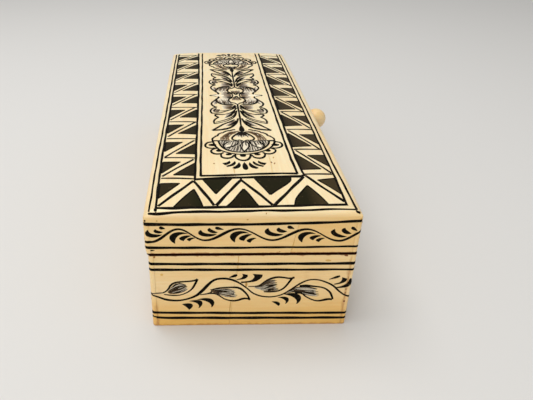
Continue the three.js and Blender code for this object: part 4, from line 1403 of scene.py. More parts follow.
# Stains on the near end of the lid and of the base: line, width, strength
LID_STAINS = (
    ([(14.4, 40.6), (14.1, 38.6), (13.8, 36.4)], 0.2, 0.3),
    ([(9.3, 35.6), (9.7, 35.9)], 0.3, 0.6),
    ([(-2.9, 49.5), (-2.3, 49.6)], 0.3, 0.45),
    ([(-34.3, 49.2), (-33.7, 49.2)], 0.3, 0.6),
    ([(-38.3, 49.5), (-38.1, 49.1)], 0.5, 1.0),
    ([(36.6, 49.6), (37.3, 49.4)], 0.5, 0.25),
    ([(3.7, 51.7), (3.8, 52.3)], 0.2, 0.6),
)
BASE_STAINS = (
    ([(-5.2, 33.6), (-5.4, 25.6)], 0.14, 0.2),
    ([(-7.6, 12.6), (-8.0, 7.0)], 0.24, 0.45),
    ([(-2.0, 21.8), (-2.0, 19.5)], 0.5, 0.5),
    ([(26.6, 31.7), (28.6, 31.5)], 0.6, 0.25),
    ([(-33.9, 25.6), (-32.9, 25.5)], 0.6, 0.15),
    ([(33.2, 34.0), (34.6, 33.7)], 0.45, 1.0),
    ([(36.1, 12.3), (36.1, 11.4)], 0.5, 1.0),
    ([(35.9, 16.3), (35.9, 15.7)], 0.4, 1.0),
    ([(36.2, 24.0), (36.0, 21.0)], 0.18, 0.7),
    ([(-35.6, 34.2), (-35.8, 33.2)], 0.45, 0.8),
    ([(36.0, 18.2), (36.0, 17.6)], 0.35, 0.9),
)


class KEEPSAKE_OT_end_ink(bpy.types.Operator):
    """Ink on the near and far ends: ruled lines, vines, leaves and commas"""

    bl_idname = "keepsake.end_ink"
    bl_label = "Ink on the ends"

    def execute(self, context):
        for name, side in (("near", -1), ("far", 1)):
            for body, marks, seed in (("lid", lid_end_marks, 21), ("base", base_end_marks, 31)):
                face, bends = end_face(body, side), end_bends(body, side)
                drawing = Drawing(face, seed + side, bends=bends)
                marks(drawing)
                drawing.make(f"ink_{body}_{name}_end", body, material("ink"))
        for body, rows in (("lid", LID_STAINS), ("base", BASE_STAINS)):
            stains(f"stain_{body}_near_end", body, end_face(body, -1), rows, 81, end_bends(body, -1))
        return {"FINISHED"}


# Long sides. Each vine has equal swings between a low foot and a crest: number of swings, height
# of the feet, rise to the crests and how hard the pen presses.
LID_SWINGS = (9, 41.2, 4.4, 0.13)
BASE_SWINGS = (6, 13.4, 9.8, 0.11)
SIDE_VINE_WIDTH = 0.43
# Ruled lines: how far they sag and rise, then the height and width of each
RULE_SAG = 0.1
LID_SIDE_RULES = ((47.7, 0.62), (38.0, 0.5))
BASE_SIDE_RULES = ((30.4, 0.42), (27.7, 0.5), (6.4, 0.5), (3.9, 0.55))
# Marks stay this clear of the start of the lines, which run a little way round the corner
SIDE_CLEAR = 1.0
SIDE_REACH = HALF_LENGTH - CORNER + 0.35
SIDE_BEND = HALF_LENGTH - CORNER + BEND_MARGIN
# Marks of one swing of the lid's vine: form, tip, tail and fatness, with u from the swing's start
# for those above it and from its crest for those below
ABOVE_SWING = ((SCOOP, (-0.4, 45.4), (5.2, 43.4), 1.05), (DAB, (2.9, 46.1), (5.6, 44.3), 1.05))
SWING_DROP = ((5.0, 46.4), (7.8, 45.6), 1.3)
BELOW_SWING = (
    (HOOK, (-1.2, 39.8), (3.7, 43.7), 1.0),
    (PLUMP, (2.2, 40.6), (5.1, 43.0), 1.0),
    (PLUMP, (4.6, 39.8), (6.6, 41.6), 1.1),
)
# The end's third leaf stands over each foot of the base's vine, and its second hangs under each
# crest: leaf, its place on the end, and the height it comes to
FOOT_LEAF = (LEAVES[2], (7.6, 14.4), 13.4)
CREST_LEAF = (LEAVES[1], (-9.6, 23.5), 23.2)
# Stroke and drop over each crest, measured from a place beside it
BESIDE_CREST = (9.6, 24.8)
CREST_OUTER = [(3.9, 0.2), (3.8, -0.9), (2.6, -2.3), (0.5, -3.3), (-4, -3.8)]
CREST_INNER = [(0.2, 0.5), (0.9, -0.7), (0.2, -2.1), (-1.2, -2.8), (-4, -3.1)]
CREST_DROP = ((-5.0, 0.3), (-7.8, -0.9), 1.3)
CLAW_SHIFT = (10.0, 0.2)


def side_rules(drawing, rows, sag):
    """Ruled lines along a long side, lower by the sag in the first half and higher by it in the
    second."""
    for v, width in rows:
        path = [(-SIDE_REACH, v), (-SIDE_REACH / 3, v - sag), (SIDE_REACH / 3, v + sag), (SIDE_REACH, v)]
        drawing.line(path, width, step=3)


def swinging_vine(drawing, count, foot, rise, press):
    """Vine along a long side. Gives where each swing starts and where its crest is."""
    pitch = 2 * SIDE_REACH / count
    starts = -SIDE_REACH + pitch * np.arange(count)
    crests = starts + pitch / 2
    turns = [turn for u, w in zip(starts, crests) for turn in ((u, foot), (w, foot + rise))]
    vine(drawing, [*turns, (SIDE_REACH, foot)], SIDE_VINE_WIDTH, press)
    return list(zip(starts, crests))


def lid_side_marks(d):
    """The lid's vine and commas carried along a long side, one swing after another."""
    side_rules(d, LID_SIDE_RULES, RULE_SAG)
    for start, crest in swinging_vine(d, *LID_SWINGS):
        for form, tip, tail, fat in ABOVE_SWING:
            if tip[0] + start > SIDE_CLEAR - SIDE_REACH:
                d.comma(np.add(tip, (start, 0)), np.add(tail, (start, 0)), -1, form, fat)
        blunt, tail, width = SWING_DROP
        d.drop(np.add(blunt, (start, 0)), np.add(tail, (start, 0)), width)
        for form, tip, tail, fat in BELOW_SWING:
            d.comma(np.add(tip, (crest, 0)), np.add(tail, (crest, 0)), 1, form, fat)


def base_side_marks(d):
    """The base's vine and leaves carried along a long side. A leaf that would run past the corner
    is left out."""
    side_rules(d, BASE_SIDE_RULES, -RULE_SAG)
    for start, crest in swinging_vine(d, *BASE_SWINGS):
        for (leaf, place, height), u in ((FOOT_LEAF, start), (CREST_LEAF, crest)):
            leaf = leaf.moved(np.subtract((u, height), place))
            if leaf.left_end() > SIDE_CLEAR - SIDE_REACH:
                shaded_leaf(d, leaf)
        head = np.add(BESIDE_CREST, (crest, 0))
        d.fill(head + CREST_OUTER, head + CREST_INNER)
        blunt, tail, width = CREST_DROP
        d.drop(head + blunt, head + tail, width)
        for form, tip, tail, fat in BASE_CLAWS[:3]:
            shift = np.add(CLAW_SHIFT, (crest, 0))
            d.comma(tip + shift, tail + shift, -1, form, fat)


class KEEPSAKE_OT_side_ink(bpy.types.Operator):
    """Ink on the long front and back sides"""

    bl_idname = "keepsake.side_ink"
    bl_label = "Ink on the long sides"

    def execute(self, context):
        for name, side in (("front", 1), ("back", -1)):
            for body, marks, seed in (("lid", lid_side_marks, 41), ("base", base_side_marks, 51)):
                drawing = Drawing(long_face(body, side), seed + side, bends=(-SIDE_BEND, SIDE_BEND))
                marks(drawing)
                drawing.make(f"ink_{body}_{name}_side", body, material("ink"))
        return {"FINISHED"}


# Ink and lac on the lid's top

# Where the lines along the box end
FAR_LIMIT = 99.0
# Ruled frames, one on the edging's top and one round the panel: points, and widths along them
FRAME_LINES = (
    ([(-36.7, -103.1), (-36.6, -90), (-36.6, -60), (-36.2, 0), (-36.1, FAR_LIMIT)], [0.4, 0.5, 0.46]),
    ([(-36.9, -103.0), (-30, -103.3), (0, -103.1), (20, -102.9), (35.2, -102.1)], 0.24),
    (
        [(35.5, -102.9), (35.0, -92), (34.6, -80), (34.3, -62), (34.3, 0), (34.3, FAR_LIMIT)],
        [0.5, 0.45, 0.45],
    ),
    ([(35.3, -102.7), (36.6, -103.0)], 0.3),
    ([(-34.5, -101.2), (-34.4, -100), (-34.8, -60), (-34.4, 0), (-34.3, FAR_LIMIT)], [0.52, 0.58, 0.54]),
    (
        [(-34.8, -101.0), (-28, -101.7), (-18, -101.8), (0, -101.5), (14, -101.2), (26, -100.4),
         (32.9, -99.6)],
        0.5,
    ),
    ([(32.5, -99.8), (32.4, -60), (32.4, 0), (32.4, FAR_LIMIT)], [0.5, 0.45, 0.45]),
    (
        [(-21, -83), (-21, -82), (-20.9, -60), (-20.5, 0), (-20.4, 40), (-21, FAR_LIMIT)],
        [0.55, 0.6, 0.55],
    ),
    ([(-21.2, -83), (-10, -81.9), (0, -81.5), (10, -81.1), (20.4, -80.8)], [0.64, 0.7, 0.68]),
    (
        [(20.8, -79.6), (20.3, -76), (19.7, -62), (19.4, -20), (19.4, 40), (20, FAR_LIMIT)],
        [0.48, 0.66, 0.58],
    ),
    ([(-18.9, -80.6), (-18.9, -60), (-18.6, -20), (-18.4, 40), (-18.5, FAR_LIMIT)], [0.55, 0.5, 0.5]),
    ([(-19.0, -80.3), (-10, -79.9), (0, -79.1), (10, -78.6), (18.4, -78.6)], [0.6, 0.55, 0.6]),
    (
        [(18.4, -78.8), (17.9, -70), (17.6, -62), (17.2, -20), (17, 20), (17, 45), (17.5, FAR_LIMIT)],
        [0.6, 0.5, 0.5],
    ),
)
# Zigzag across the near border
NEAR_LEGS = (
    [(-33.6, -100), (-21.5, -84)],
    [(-21.5, -84), (-14.1, -100.7)],
    [(-13.5, -100.7), (-3.75, -83.5)],
    [(-3.75, -83.5), (6.3, -100.6)],
    [(6.8, -101), (13.5, -91), (20.2, -81.5)],
    [(21, -80.2), (26, -88.6), (32.2, -97.8)],
)
# Lac between two edges that meet: three fillings that stand in the zigzag, and one that hangs
NEAR_STANDING = (
    ([(-21.4, -90), (-25.5, -96.5), (-28.5, -102)], [(-21.4, -90), (-19.5, -96), (-17.9, -102.2)]),
    ([(-3.2, -90), (-7, -97), (-9.9, -101.5)], [(-3.2, -90), (-1, -95), (1.4, -101.5)]),
    ([(20.6, -87.6), (15.5, -96), (13.8, -101.2)], [(20.6, -87.6), (23.6, -94), (26.1, -101)]),
)
NEAR_HANGING = ([(1.2, -81.7), (6.2, -94)], [(15.3, -81.4), (14.2, -85.2), (6.2, -94)])
# Corners of the plain triangles
NEAR_TRIANGLE = ((-18.2, -82.8), (-7, -82.2), (-13.4, -93.3))
CORNER_TRIANGLES = (
    ((-34, -84.8), (-26.7, -85.6), (-34, -95.1)),
    ((32.2, -81.4), (25.3, -83.5), (32.2, -93)),
)


class Band(NamedTuple):
    """Zigzag of one long border. Legs cross it, a slanting line comes back from each, and lac
    triangles stand on both sides of the slanting line. Falls are toward the near end."""

    legs: tuple
    slants: tuple
    outer: float
    inner: float
    # +1 where the middle of the lid is to the right
    inward: int
    # Start and end across the band, rise and width
    leg: tuple
    # Of the first slanting line and of the rest
    falls: tuple
    # Falls of the inner triangle's tip and foot from the slanting line's start
    inner_tip: float
    inner_foot: float
    # Fall of the outer triangle's upper corner from the leg, and its height
    outer_gap: float
    outer_size: float


BANDS = (
    Band(
        (-80.7, -63.3, -44.2, -24.6, -5.4, 14.3, 34.3, 54.8, 75.3, 95.2),
        (-66.2, -47.6, -26.8, -7.0, 13.0, 32.5, 54.0, 74.0, 94.0),
        -34.1, -21.0, 1, (-33.9, -21.2, -1.8, 0.4), (13.2, 15.2), 12.6, 13.8, 3.9, 9.6,
    ),
    Band(
        (-79.3, -57.0, -35.6, -13.0, 8.3, 29.3, 49.0, 70.3, 92.0),
        (-58.0, -36.8, -13.8, 7.5, 28.0, 48.0, 69.5, 91.0),
        32.3, 20.1, -1, (20.3, 32.1, 1.1, 0.42), (19.3, 19.3), 16.3, 17.8, 4.6, 10.6,
    ),
)
# Greatest shift of a triangle's corner by the hand along the band, and its share across it
HAND_SHIFT = 0.25
SHIFT_ACROSS = 0.4
# How far a slanting line runs past the inner edge, and how far it stops short of the outer one
SLANT_PAST = 0.8
SLANT_SHORT = 0.5
# Triangles: fall of the inner one's upper corner, reach of both across the band, and fall of the
# outer one's tip
INNER_TOP = 3.2
INNER_REACH = 8.2
OUTER_REACH = 7.1
OUTER_TIP = 1.0
# Stains on the near part of the top: line, width, strength
TOP_STAINS = (
    ([(-13.7, -69.6), (-13.5, -70.5)], 0.4, 0.7),
    ([(9.3, -68.5), (9.5, -69.7)], 0.38, 1.0),
    ([(10.7, -69.4), (10.3, -70.8)], 0.38, 0.75),
    ([(10.9, -64.0), (10.5, -65.6)], 0.35, 0.35),
    ([(8.9, -62.0), (9.0, -70.0), (8.8, -77.8)], 0.12, 0.12),
    ([(-6.0, -72.0), (-5.9, -78.6)], 0.2, 0.2),
)


class KEEPSAKE_OT_lid_border(bpy.types.Operator):
    """Frame lines, zigzag and lac triangles round the lid's top"""

    bl_idname = "keepsake.lid_border"
    bl_label = "Lid border"

    def execute(self, context):
        d = Drawing(lid_top, 61, nib=0.45)
        lac = Drawing(lid_top, 62, LAC_LIFT)
        self.frame_lines(d)
        self.near_zigzag(d, lac)
        for band in BANDS:
            self.side_band(d, lac, band)
        d.make("ink_lid_border", "lid", material("ink"))
        stains("stain_lid_top", "lid", lid_top, TOP_STAINS, 63)
        lac.make("lac_lid_triangles", "lid", material("lac"))
        return {"FINISHED"}

    def frame_lines(self, d):
        """The ruled frames, the blot where two of them cross and a tick on the near joint."""
        ruled_lines(d, FRAME_LINES, 0.05, 1)
        d.oval((20.4, -80.1), 0.8, 0.7)
        d.line([(-3.75, -84.0), (-3.7, -81.9)], 0.5, waver=0)

    def lac_between(self, d, lac, edges):
        """Lac between two edges, and a pen line along each."""
        lac.fill(*edges)
        for edge in edges:
            d.line(edge, 0.35)

    def lac_triangle(self, d, lac, a, b, c):
        """Lac filling with its pen outline."""
        lac.triangle(a, b, c)
        for start, end in ((a, b), (b, c), (c, a)):
            d.line([start, end], 0.3, waver=0.04)

    def near_zigzag(self, d, lac):
        """Zigzag across the near border with lac triangles standing and hanging in it."""
        for points in NEAR_LEGS:
            d.line(points, 0.64, waver=0.07)
        for edges in NEAR_STANDING:
            self.lac_between(d, lac, edges)
        self.lac_triangle(d, lac, *NEAR_TRIANGLE)
        self.lac_between(d, lac, NEAR_HANGING)
        for triangle in CORNER_TRIANGLES:
            self.lac_triangle(d, lac, *triangle)

    def side_band(self, d, lac, band):
        """Zigzag along one long border, with its lac triangles."""
        inner, outer, inward = band.inner, band.outer, band.inward
        start, end, rise, width = band.leg
        for y in band.legs:
            d.line([(start, y), (end, y + rise)], width)
        for k, y in enumerate(band.slants):
            fall = band.falls[min(k, 1)]
            slant = [(inner - inward * SLANT_PAST, y), (outer + inward * SLANT_SHORT, y - fall)]
            d.line(slant, 0.5)
            shake = d.random.uniform(-HAND_SHIFT, HAND_SHIFT, 3)
            reach = INNER_REACH + SHIFT_ACROSS * shake[1]
            self.lac_triangle(
                d, lac,
                (inner, y - INNER_TOP + shake[0]),
                (inner - inward * reach, y - band.inner_tip),
                (inner, y - band.inner_foot + shake[2]),
            )
        for y in band.legs[1:]:
            top = y - band.outer_gap
            shake = d.random.uniform(-HAND_SHIFT, HAND_SHIFT, 3)
            reach = OUTER_REACH + SHIFT_ACROSS * shake[1]
            self.lac_triangle(
                d, lac,
                (outer, top + shake[0]),
                (outer + inward * reach, top - OUTER_TIP),
                (outer, top - band.outer_size + shake[2]),
            )


# Flower spray: the y at which it turns over, and the run of its stem, which isn't quite straight
SPRAY_MIDDLE = 11.0
STEM_Y = (-75, -64, -51, -20, 70, 95)
STEM_X = (-1.3, -1.7, -0.35, -0.3, -0.4, -0.6)


def spray_place(points, sign, half):
    """Takes (distance from the stem, y) of the near half to the lid: the sign picks the side of
    the stem, and half +1 turns the place over the spray's middle to its far half."""
    p = np.atleast_2d(np.asarray(points, float))
    y = p[:, 1] if half < 0 else 2 * SPRAY_MIDDLE - p[:, 1]
    return np.column_stack([np.interp(y, STEM_Y, STEM_X) + sign * p[:, 0], y])


def flipped(path, sign=-1, aside=0.0):
    """The same path on the other side of the stem, or of a line beside the stem."""
    return [(aside + sign * s, y) for s, y in path]


def between(foot, tip, share):
    """Guide that lies that share of the way from one guide to another."""
    return [(a[0] + (b[0] - a[0]) * share, a[1] + (b[1] - a[1]) * share) for a, b in zip(foot, tip)]


# Outlines of the near half's right side, as distance from the stem and y
BOWL_OUTER = [
    (0, -61.6), (2.6, -61.4), (6.6, -59.9), (10.0, -57.3), (12.2, -53.6), (13.1, -50.6), (13.5, -48.1),
]
BOWL_INNER = [(0, -59.8), (3.8, -59.1), (7.2, -57.2), (9.4, -54.2), (10.6, -51.0), (11.0, -48.4)]
BOWL_RIM = [(13.6, -48.2), (11.2, -48.1), (8.6, -48.5)]
BOWL_TOP = [(0.1, -48.4), (4.8, -47.8), (9.8, -47.4)]
BOWL_BOTTOM = [(0.2, -59.8), (6.9, -57.0), (10.3, -50.4)]
# Leaf in the bowl: bone left bare, and the two lines round it
BARE_OUTER = [(6.2, -52.2), (7.5, -52.6), (7.7, -54.0), (7.2, -55.2)]
BARE_INNER = [(6.2, -52.2), (5.6, -53.6), (7.2, -55.2)]
BARE_RIGHT = [(6.6, -49.6), (8.4, -51.4), (8.8, -53.6), (7.9, -55.8)]
BARE_LEFT = [(2.5, -48.4), (2.8, -51.0), (4.2, -53.3), (7.2, -55.5)]
DOME_LOBES = [
    (13.5, -48), (12.5, -43.9), (11.1, -42.6), (9.9, -39.8), (8.6, -39.4), (6.6, -37.2), (5.4, -37.1),
    (3.0, -35.8),
]
DOME_OUTSIDE = [(1.4, -36.9), (5.4, -38.4), (8.2, -41.4), (9.8, -44.8), (10.6, -48.0)]
DOME_INSIDE = [(1.6, -38.2), (3.8, -40.2), (5.6, -42.8), (6.2, -45.4), (6.0, -48.0)]
# Bud in the dome, with its foot, its shade and the tear under it
BUD = [(0.9, -38.2), (2.5, -40.6), (4.1, -43.2), (4.9, -45.4), (4.3, -47.2), (2.7, -47.8)]
BUD_FOOT = [(2.6, -47.7), (1.5, -47.4), (0.3, -48.6)]
BUD_SHADE = [(-1.2, -38.7), (-2.4, -41.0), (-2.8, -43.2)]
TEAR = [(0.3, -48.8), (1.8, -52.2), (1.5, -55.6), (0.0, -59.1)]
TEAR_BARE = [(0.0, -52.4), (0.9, -54.0), (0.7, -56.6), (0.0, -58.2)]
# Drop at the stem's foot, the petal that stands on the stem, and the knot over the dome
DROP = [(0, -68.9), (0.95, -71.6), (1.0, -74.6), (0, -75.7)]
MIDDLE_PETAL = [
    (-3.2, -61.4), (-3.1, -64.3), (-1.8, -66.7), (0, -67.5), (1.8, -66.7), (3.0, -64.3), (3.1, -61.4),
]
KNOT = [(0.25, -31.0), (0.8, -32.6), (1.2, -34.8), (1.2, -37.0), (0.35, -38.6)]
STEM = [(0, -32), (0, -18), (0, -3)]
# Bud pinched at the waist where the two halves meet
CUP = [
    (0.2, -2.8), (1.5, -0.9), (3.4, 0.2), (4.4, 2.4), (4.2, 4.8), (3.0, 6.6), (1.3, 7.5), (0.2, 7.9),
]
CUP_SHADE = [(-2.6, 3.6), (-2.2, 6.0), (-0.4, 7.8)]
WAIST = [(3.9, 7.0), (2.5, 8.4), (1.9, 9.8), (1.9, 11.2)]
BRACT_UPPER = [(6.6, 12.0), (10.4, 12.3), (13.4, 11.3)]
BRACT_LOWER = [(6.6, 10.0), (10.4, 9.6), (13.4, 10.7)]
# Edges of the leaf lobes
SIDE_LOBE = [(10.2, 6.4), (11.6, 3.2), (13.0, 0.2), (13.3, -2.6), (12.3, -5.3), (10.8, -6.8)]
THIRD_LOBE = [(10.8, -6.8), (13.0, -8.5), (14.0, -11.2), (13.9, -13.5), (13.1, -15.6)]
SECOND_NOTCH = [(7.4, -16.9), (11.3, -16.7), (11.7, -18.5), (10.2, -20.6)]
SECOND_LOBE = [(10.2, -20.6), (11.9, -22.9), (12.6, -26.0), (12.2, -28.8)]
FIRST_UPPER = [(2.6, -23.6), (5.2, -26.4), (8.2, -29.4), (10.8, -33.0), (13.4, -36.6)]
FIRST_LOWER = [(0.9, -22), (1.9, -27.4), (3.6, -31.4), (5.8, -34), (8.8, -35.6), (13.4, -36.6)]
CALYX = [(2.0, -2.6), (5.2, -3.1), (8.2, -2.1), (10.1, 0.2), (10.8, 3.2), (10.3, 6.4)]
VEINS = [
    [(1.2, -4.4), (3.4, -9.6), (7.5, -13.4), (10.4, -15.0), (13.1, -15.6)],
    [(0.8, -7.6), (2.2, -11.4), (4.6, -14.9), (7.4, -16.9)],
    [(0.9, -11.5), (1.7, -17.0), (3.4, -21.6), (6.4, -25.2), (9.6, -27.3), (12.2, -28.8)],
    [(1.3, -13.0), (2.9, -18.6), (5.2, -22.2), (8.4, -24.8), (11.8, -27.0)],
    [(2.0, -24.8), (3.3, -30.0), (5.8, -33.6), (8.4, -34.6)],
    [(1.0, -5.6), (2.2, -8.6), (5.4, -11.4), (9.6, -12.2)],
]
# Strokes of a full brush: points, widest width
BRUSHED = [
    ([(1.3, -3.6), (2.5, -6.2), (4.2, -9.4)], 0.5),
    ([(1.7, -11.8), (3.6, -16.0), (6.9, -20.9)], 0.75),
    ([(2.0, -13.4), (4.2, -17.4), (5.9, -20.0)], 0.45),
    ([(2.6, -26.4), (4.0, -28.8), (6.0, -31.4)], 0.55),
    ([(11.0, -8.4), (12.2, -10.8), (12.2, -13.2)], 0.7),
    ([(9.6, 9.4), (9.5, 7.4), (10.2, 5.2)], 0.75),
]
# Fine strokes: foot guide, tip guide, count, ink at foot and tip, wash under them
SHADED = [
    ([(2.4, -25.2), (3.8, -30.4)], [(5.8, -28.4), (8.2, -32.4)], 12, (0.9, 0.3), 0.3),
    ([(1.6, -12.2), (3.6, -18.2)], [(6.6, -18.2), (8.2, -22.8)], 14, (0.9, 0.3), 0.3),
    ([(2.4, -4.2), (4.4, -9.6)], [(8.2, -4.4), (7.6, -9.2)], 10, (0.85, 0.4), -0.6),
    ([(9.2, -10.4), (10.0, -13.8)], [(13.4, -9.4), (13.2, -14.0)], 9, (0.8, 0.5), -0.6),
    ([(3.0, -2.6), (9.4, -1.4)], [(4.8, 7.2), (10.4, 6.0)], 12, (1.0, 0.35), 0.24),
    ([(10.9, 3.4), (10.4, -0.4)], [(12.8, 0.6), (12.2, -3.4)], 5, (0.8, 0.3), 0.12),
    ([(2.4, 10.8), (3.6, 6.2)], [(8.0, 10.8), (7.8, 6.6)], 8, (0.8, 0.4), -0.5),
]
# Round petals under the bowl: outline, heart, the heart's half sizes
PETALS = [
    (
        [(3.6, -62.3), (4.7, -64.7), (7.0, -65.4), (8.8, -64.0), (9.1, -60.9)],
        (5.9, -61.7), (1.3, 1.0),
    ),
    (
        [(11.5, -55.8), (13.4, -57.4), (13.2, -59.7), (11.5, -61.3), (9.3, -61.1), (8.2, -59.9)],
        (10.3, -58.1), (1.2, 1.15),
    ),
    (
        [(13.4, -49.2), (15.6, -49.9), (16.5, -52.3), (15.9, -54.6), (13.7, -55.8), (12.2, -55.3)],
        (13.5, -52.4), (1.7, 1.2),
    ),
]
# Horn strokes below: inner edge and outer edge, both from the tip
HORNS = [
    (
        [(2.1, -69.0), (1.6, -71.4), (2.4, -73.7), (4.2, -74.8)],
        [(2.1, -69.0), (3.2, -71.4), (4.4, -72.9), (5.2, -74.0)],
    ),
    (
        [(3.7, -67.9), (3.4, -69.9), (4.6, -71.9), (7.0, -73.1)],
        [(3.7, -67.9), (4.9, -70.0), (6.2, -71.3), (7.6, -72.1)],
    ),
    (
        [(5.8, -67.5), (5.5, -69.4), (6.6, -70.9), (7.9, -71.6)],
        [(5.8, -67.5), (6.7, -68.8), (7.7, -69.4), (8.9, -69.7)],
    ),
]
# Heights in the spray: bone left bare over a wash, a line over that, and the petal's heart
BARE_LIFT = 0.056
OVER_LIFT = 0.062
HEART_LIFT = 0.07


def leaves_side(d, at):
    """Leaf lobes on one side of a half spray, their veins and their shading."""
    for edge in (SIDE_LOBE, THIRD_LOBE, SECOND_NOTCH, SECOND_LOBE, FIRST_UPPER):
        d.line(at(edge), [0.44, 0.6, 0.5], waver=0.04)
    d.line(at(FIRST_LOWER), [0.46, 0.7, 0.54], waver=0.04)
    d.line(at(CALYX), [0.5, 0.66, 0.6, 0.5], waver=0.04)
    for vein in VEINS:
        d.line(at(vein), [0.46, 0.38, 0.28], [1, 0.95, 0.9], waver=0.03)
    for stroke, width in BRUSHED:
        d.line(at(stroke), [0.3, width, 0.8 * width, 0.2], [1, 1, 0.8], waver=0.06)
    for foot, tip, count, ink, wash in SHADED:
        faded = np.linspace(wash, 0.04 * math.copysign(1, wash), 8)
        d.fill(at([foot[0], tip[0]]), at([foot[1], tip[1]]), faded, 8, WASH_LIFT)
        d.hatch(at(foot), at(tip), count, 0.24, ink, 0.4)
        d.hatch(at(foot), at(tip), count // 2, 0.26, (-1.0, -0.5), 0.6)


def bract_side(d, at):
    """Pointed bract between the two halves of the spray, with its dark tip."""
    d.fill(at(BRACT_UPPER), at(BRACT_LOWER), 0.0, 10, lift=0.05)
    for edge in (BRACT_UPPER, BRACT_LOWER):
        d.line(at(edge[1:]), 0.22, 0.8, lift=BARE_LIFT)
    d.oval(at((13.5, 10.9))[0], 0.75, 0.9)


def flower_side(d, at):
    """Half of the great flower: scalloped dome, bowl, round petals and the horn strokes below."""
    for a, b in zip(DOME_LOBES[:-1], DOME_LOBES[1:]):
        a, b = np.array(a), np.array(b)
        rim = (a + b) / 2 + 0.14 * np.array([b[1] - a[1], a[0] - b[0]])
        d.line(at([a, rim, b]), [0.42, 0.52, 0.46], waver=0.02)
    # Brown brushing inside the dome, from the stem down to the bowl, with bone left in it
    guides = at(DOME_OUTSIDE), at(DOME_INSIDE)
    d.fill(*guides, -0.38, 16, WASH_LIFT)
    d.comb(*guides, 72, 0.3, (-1.0, -0.6), (0.12, 0.34))
    d.comb(*guides, 9, 0.26, (-0.05, -0.15), (0.08, 0.2))
    d.line(at(BOWL_RIM), [0.5, 0.45, 0.3])
    d.line(at(BOWL_OUTER), [0.36, 0.4, 0.52, 0.56])
    d.line(at(BOWL_INNER), [0.4, 0.42, 0.5, 0.6])
    # Black brushing in the bowl from above and from below, with a few strokes of bone over it
    top, bottom = at(BOWL_TOP), at(BOWL_BOTTOM)
    d.fill(top, bottom, 0.24, 14, WASH_LIFT)
    d.hatch(top, bottom, 15, 0.26, (1.05, 0.95), 0.05, 0.03)
    middle, upper = (at(between(BOWL_TOP, BOWL_BOTTOM, share)) for share in (0.4, 0.15))
    d.hatch(bottom, middle, 12, 0.2, (1.0, 0.7), 0.3, 0.03)
    d.hatch(upper, bottom, 9, 0.15, (0.06, 0.1), 0.2, 0.03, over=0.014)
    d.fill(at(BARE_OUTER), at(BARE_INNER), 0.05, 10, lift=0.06)
    d.line(at(BARE_RIGHT), 0.34, lift=OVER_LIFT)
    d.line(at(BARE_LEFT), [0.4, 0.42, 0.36], lift=OVER_LIFT)
    for outline, heart, (across, up) in PETALS:
        d.line(at(outline), [0.45, 0.54, 0.45], waver=0.03)
        d.oval(at(heart)[0], across, up * (0.7 + 0.67 * d.nib))
    for inner, outer in HORNS:
        d.fill(at(inner), at(outer))


def crown_middle(d, at):
    """The parts of a half spray that stand on its stem: drop, petal, bud, knot and small bud."""
    d.fill(at(DROP), at(flipped(DROP)))
    d.line(at(MIDDLE_PETAL), 0.54)
    d.oval(at((0, -62.9))[0], 1.3, 1.25, lift=HEART_LIFT)
    # The tear stands half a millimetre to the right of the stem
    for sign in (-1, 1):
        d.line(at(flipped(BUD, sign)), [0.42, 0.56, 0.5])
        d.line(at(flipped(BUD_FOOT, sign)), 0.42)
        d.line(at(flipped(TEAR, sign, 0.5)), 0.36, lift=OVER_LIFT)
    d.fill(at(flipped(TEAR_BARE, 1, 0.5)), at(flipped(TEAR_BARE, -1, 0.5)), 0.08, 12, BARE_LIFT)
    d.fill(at(BUD_SHADE), at(flipped(BUD_SHADE)), 0.15, 10, lift=0.03)
    strokes = at([(-1.1, -38.4), (1.1, -38.4)]), at([(-3.5, -44.9), (3.5, -44.9)])
    d.hatch(*strokes, 8, 0.36, (1.05, 0.95), 0.3, 0.03)
    d.fill(at(KNOT), at(flipped(KNOT)))
    d.line(at(STEM), [0.5, 0.55, 0.5])
    for sign in (-1, 1):
        d.line(at(flipped(CUP, sign)), [0.4, 0.5, 0.55, 0.5, 0.5])
        d.line(at(flipped(WAIST, sign)), [0.4, 0.42, 0.4])
    d.fill(at(CUP_SHADE), at(flipped(CUP_SHADE)), -0.45, 10, lift=0.03)
    strokes = at([(-1.2, 7.6), (1.2, 7.6)]), at([(-2.8, 2.2), (2.8, 2.2)])
    d.hatch(*strokes, 7, 0.26, (1.0, 0.6), 0.4)
    d.oval(at((0, 9.2))[0], 1.0, 0.9)
    for sign in (-1, 1):
        d.oval(at((sign * 4.2, 8.0))[0], 0.75, 0.8)


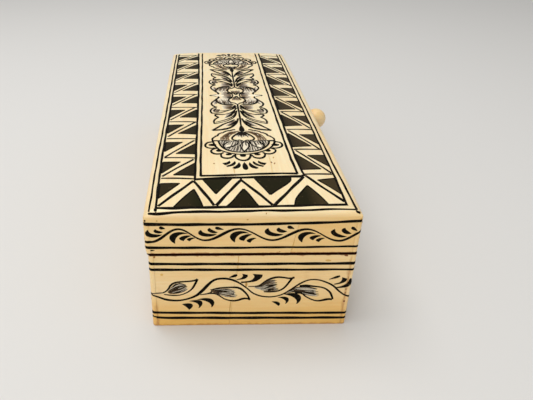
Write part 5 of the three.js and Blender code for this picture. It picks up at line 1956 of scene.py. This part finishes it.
class KEEPSAKE_OT_lid_spray(bpy.types.Operator):
    """Flower spray down the middle of the lid, drawn as a half and turned over its middle"""

    bl_idname = "keepsake.lid_spray"
    bl_label = "Lid flower spray"

    def execute(self, context):
        for half, name in ((-1, "near"), (1, "far")):
            d = Drawing(lid_top, 71 + half, nib=0.7 + 0.25 * half)
            for sign in (-1, 1):
                at = functools.partial(spray_place, sign=sign, half=half)
                leaves_side(d, at)
                flower_side(d, at)
                if half < 0:
                    bract_side(d, at)
            crown_middle(d, functools.partial(spray_place, sign=1, half=half))
            d.make(f"ink_lid_spray_{name}", "lid", material("ink"))
        return {"FINISHED"}


class KEEPSAKE_PT_box(bpy.types.Panel):
    """Buttons and values for the box's finish"""

    bl_label = "Keepsake box"
    bl_space_type = "VIEW_3D"
    bl_region_type = "UI"
    bl_category = "Keepsake box"

    def draw(self, context):
        for step in STEPS:
            self.layout.operator(step.bl_idname)
        for group in (context.scene.keepsake_sizes, context.scene.keepsake_colours):
            for name in group.__annotations__:
                self.layout.prop(group, name)


STEPS = (
    KEEPSAKE_OT_stage,
    KEEPSAKE_OT_side_plates,
    KEEPSAKE_OT_top_plates,
    KEEPSAKE_OT_wood_and_brass,
    KEEPSAKE_OT_knob,
    KEEPSAKE_OT_linings,
    KEEPSAKE_OT_end_ink,
    KEEPSAKE_OT_side_ink,
    KEEPSAKE_OT_lid_border,
    KEEPSAKE_OT_lid_spray,
)
CLASSES = (KeepsakeColours, KeepsakeSizes, *STEPS, KEEPSAKE_PT_box)


def register():
    for item in CLASSES:
        bpy.utils.register_class(item)
    bpy.types.Scene.keepsake_colours = bpy.props.PointerProperty(type=KeepsakeColours)
    bpy.types.Scene.keepsake_sizes = bpy.props.PointerProperty(type=KeepsakeSizes)


def unregister():
    del bpy.types.Scene.keepsake_sizes
    del bpy.types.Scene.keepsake_colours
    for item in reversed(CLASSES):
        bpy.utils.unregister_class(item)


def main():
    """Makes the whole finish."""
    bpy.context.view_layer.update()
    register()
    for step in STEPS:
        group, name = step.bl_idname.split(".")
        getattr(getattr(bpy.ops, group), name)()


if __name__ == "__main__":
    main()
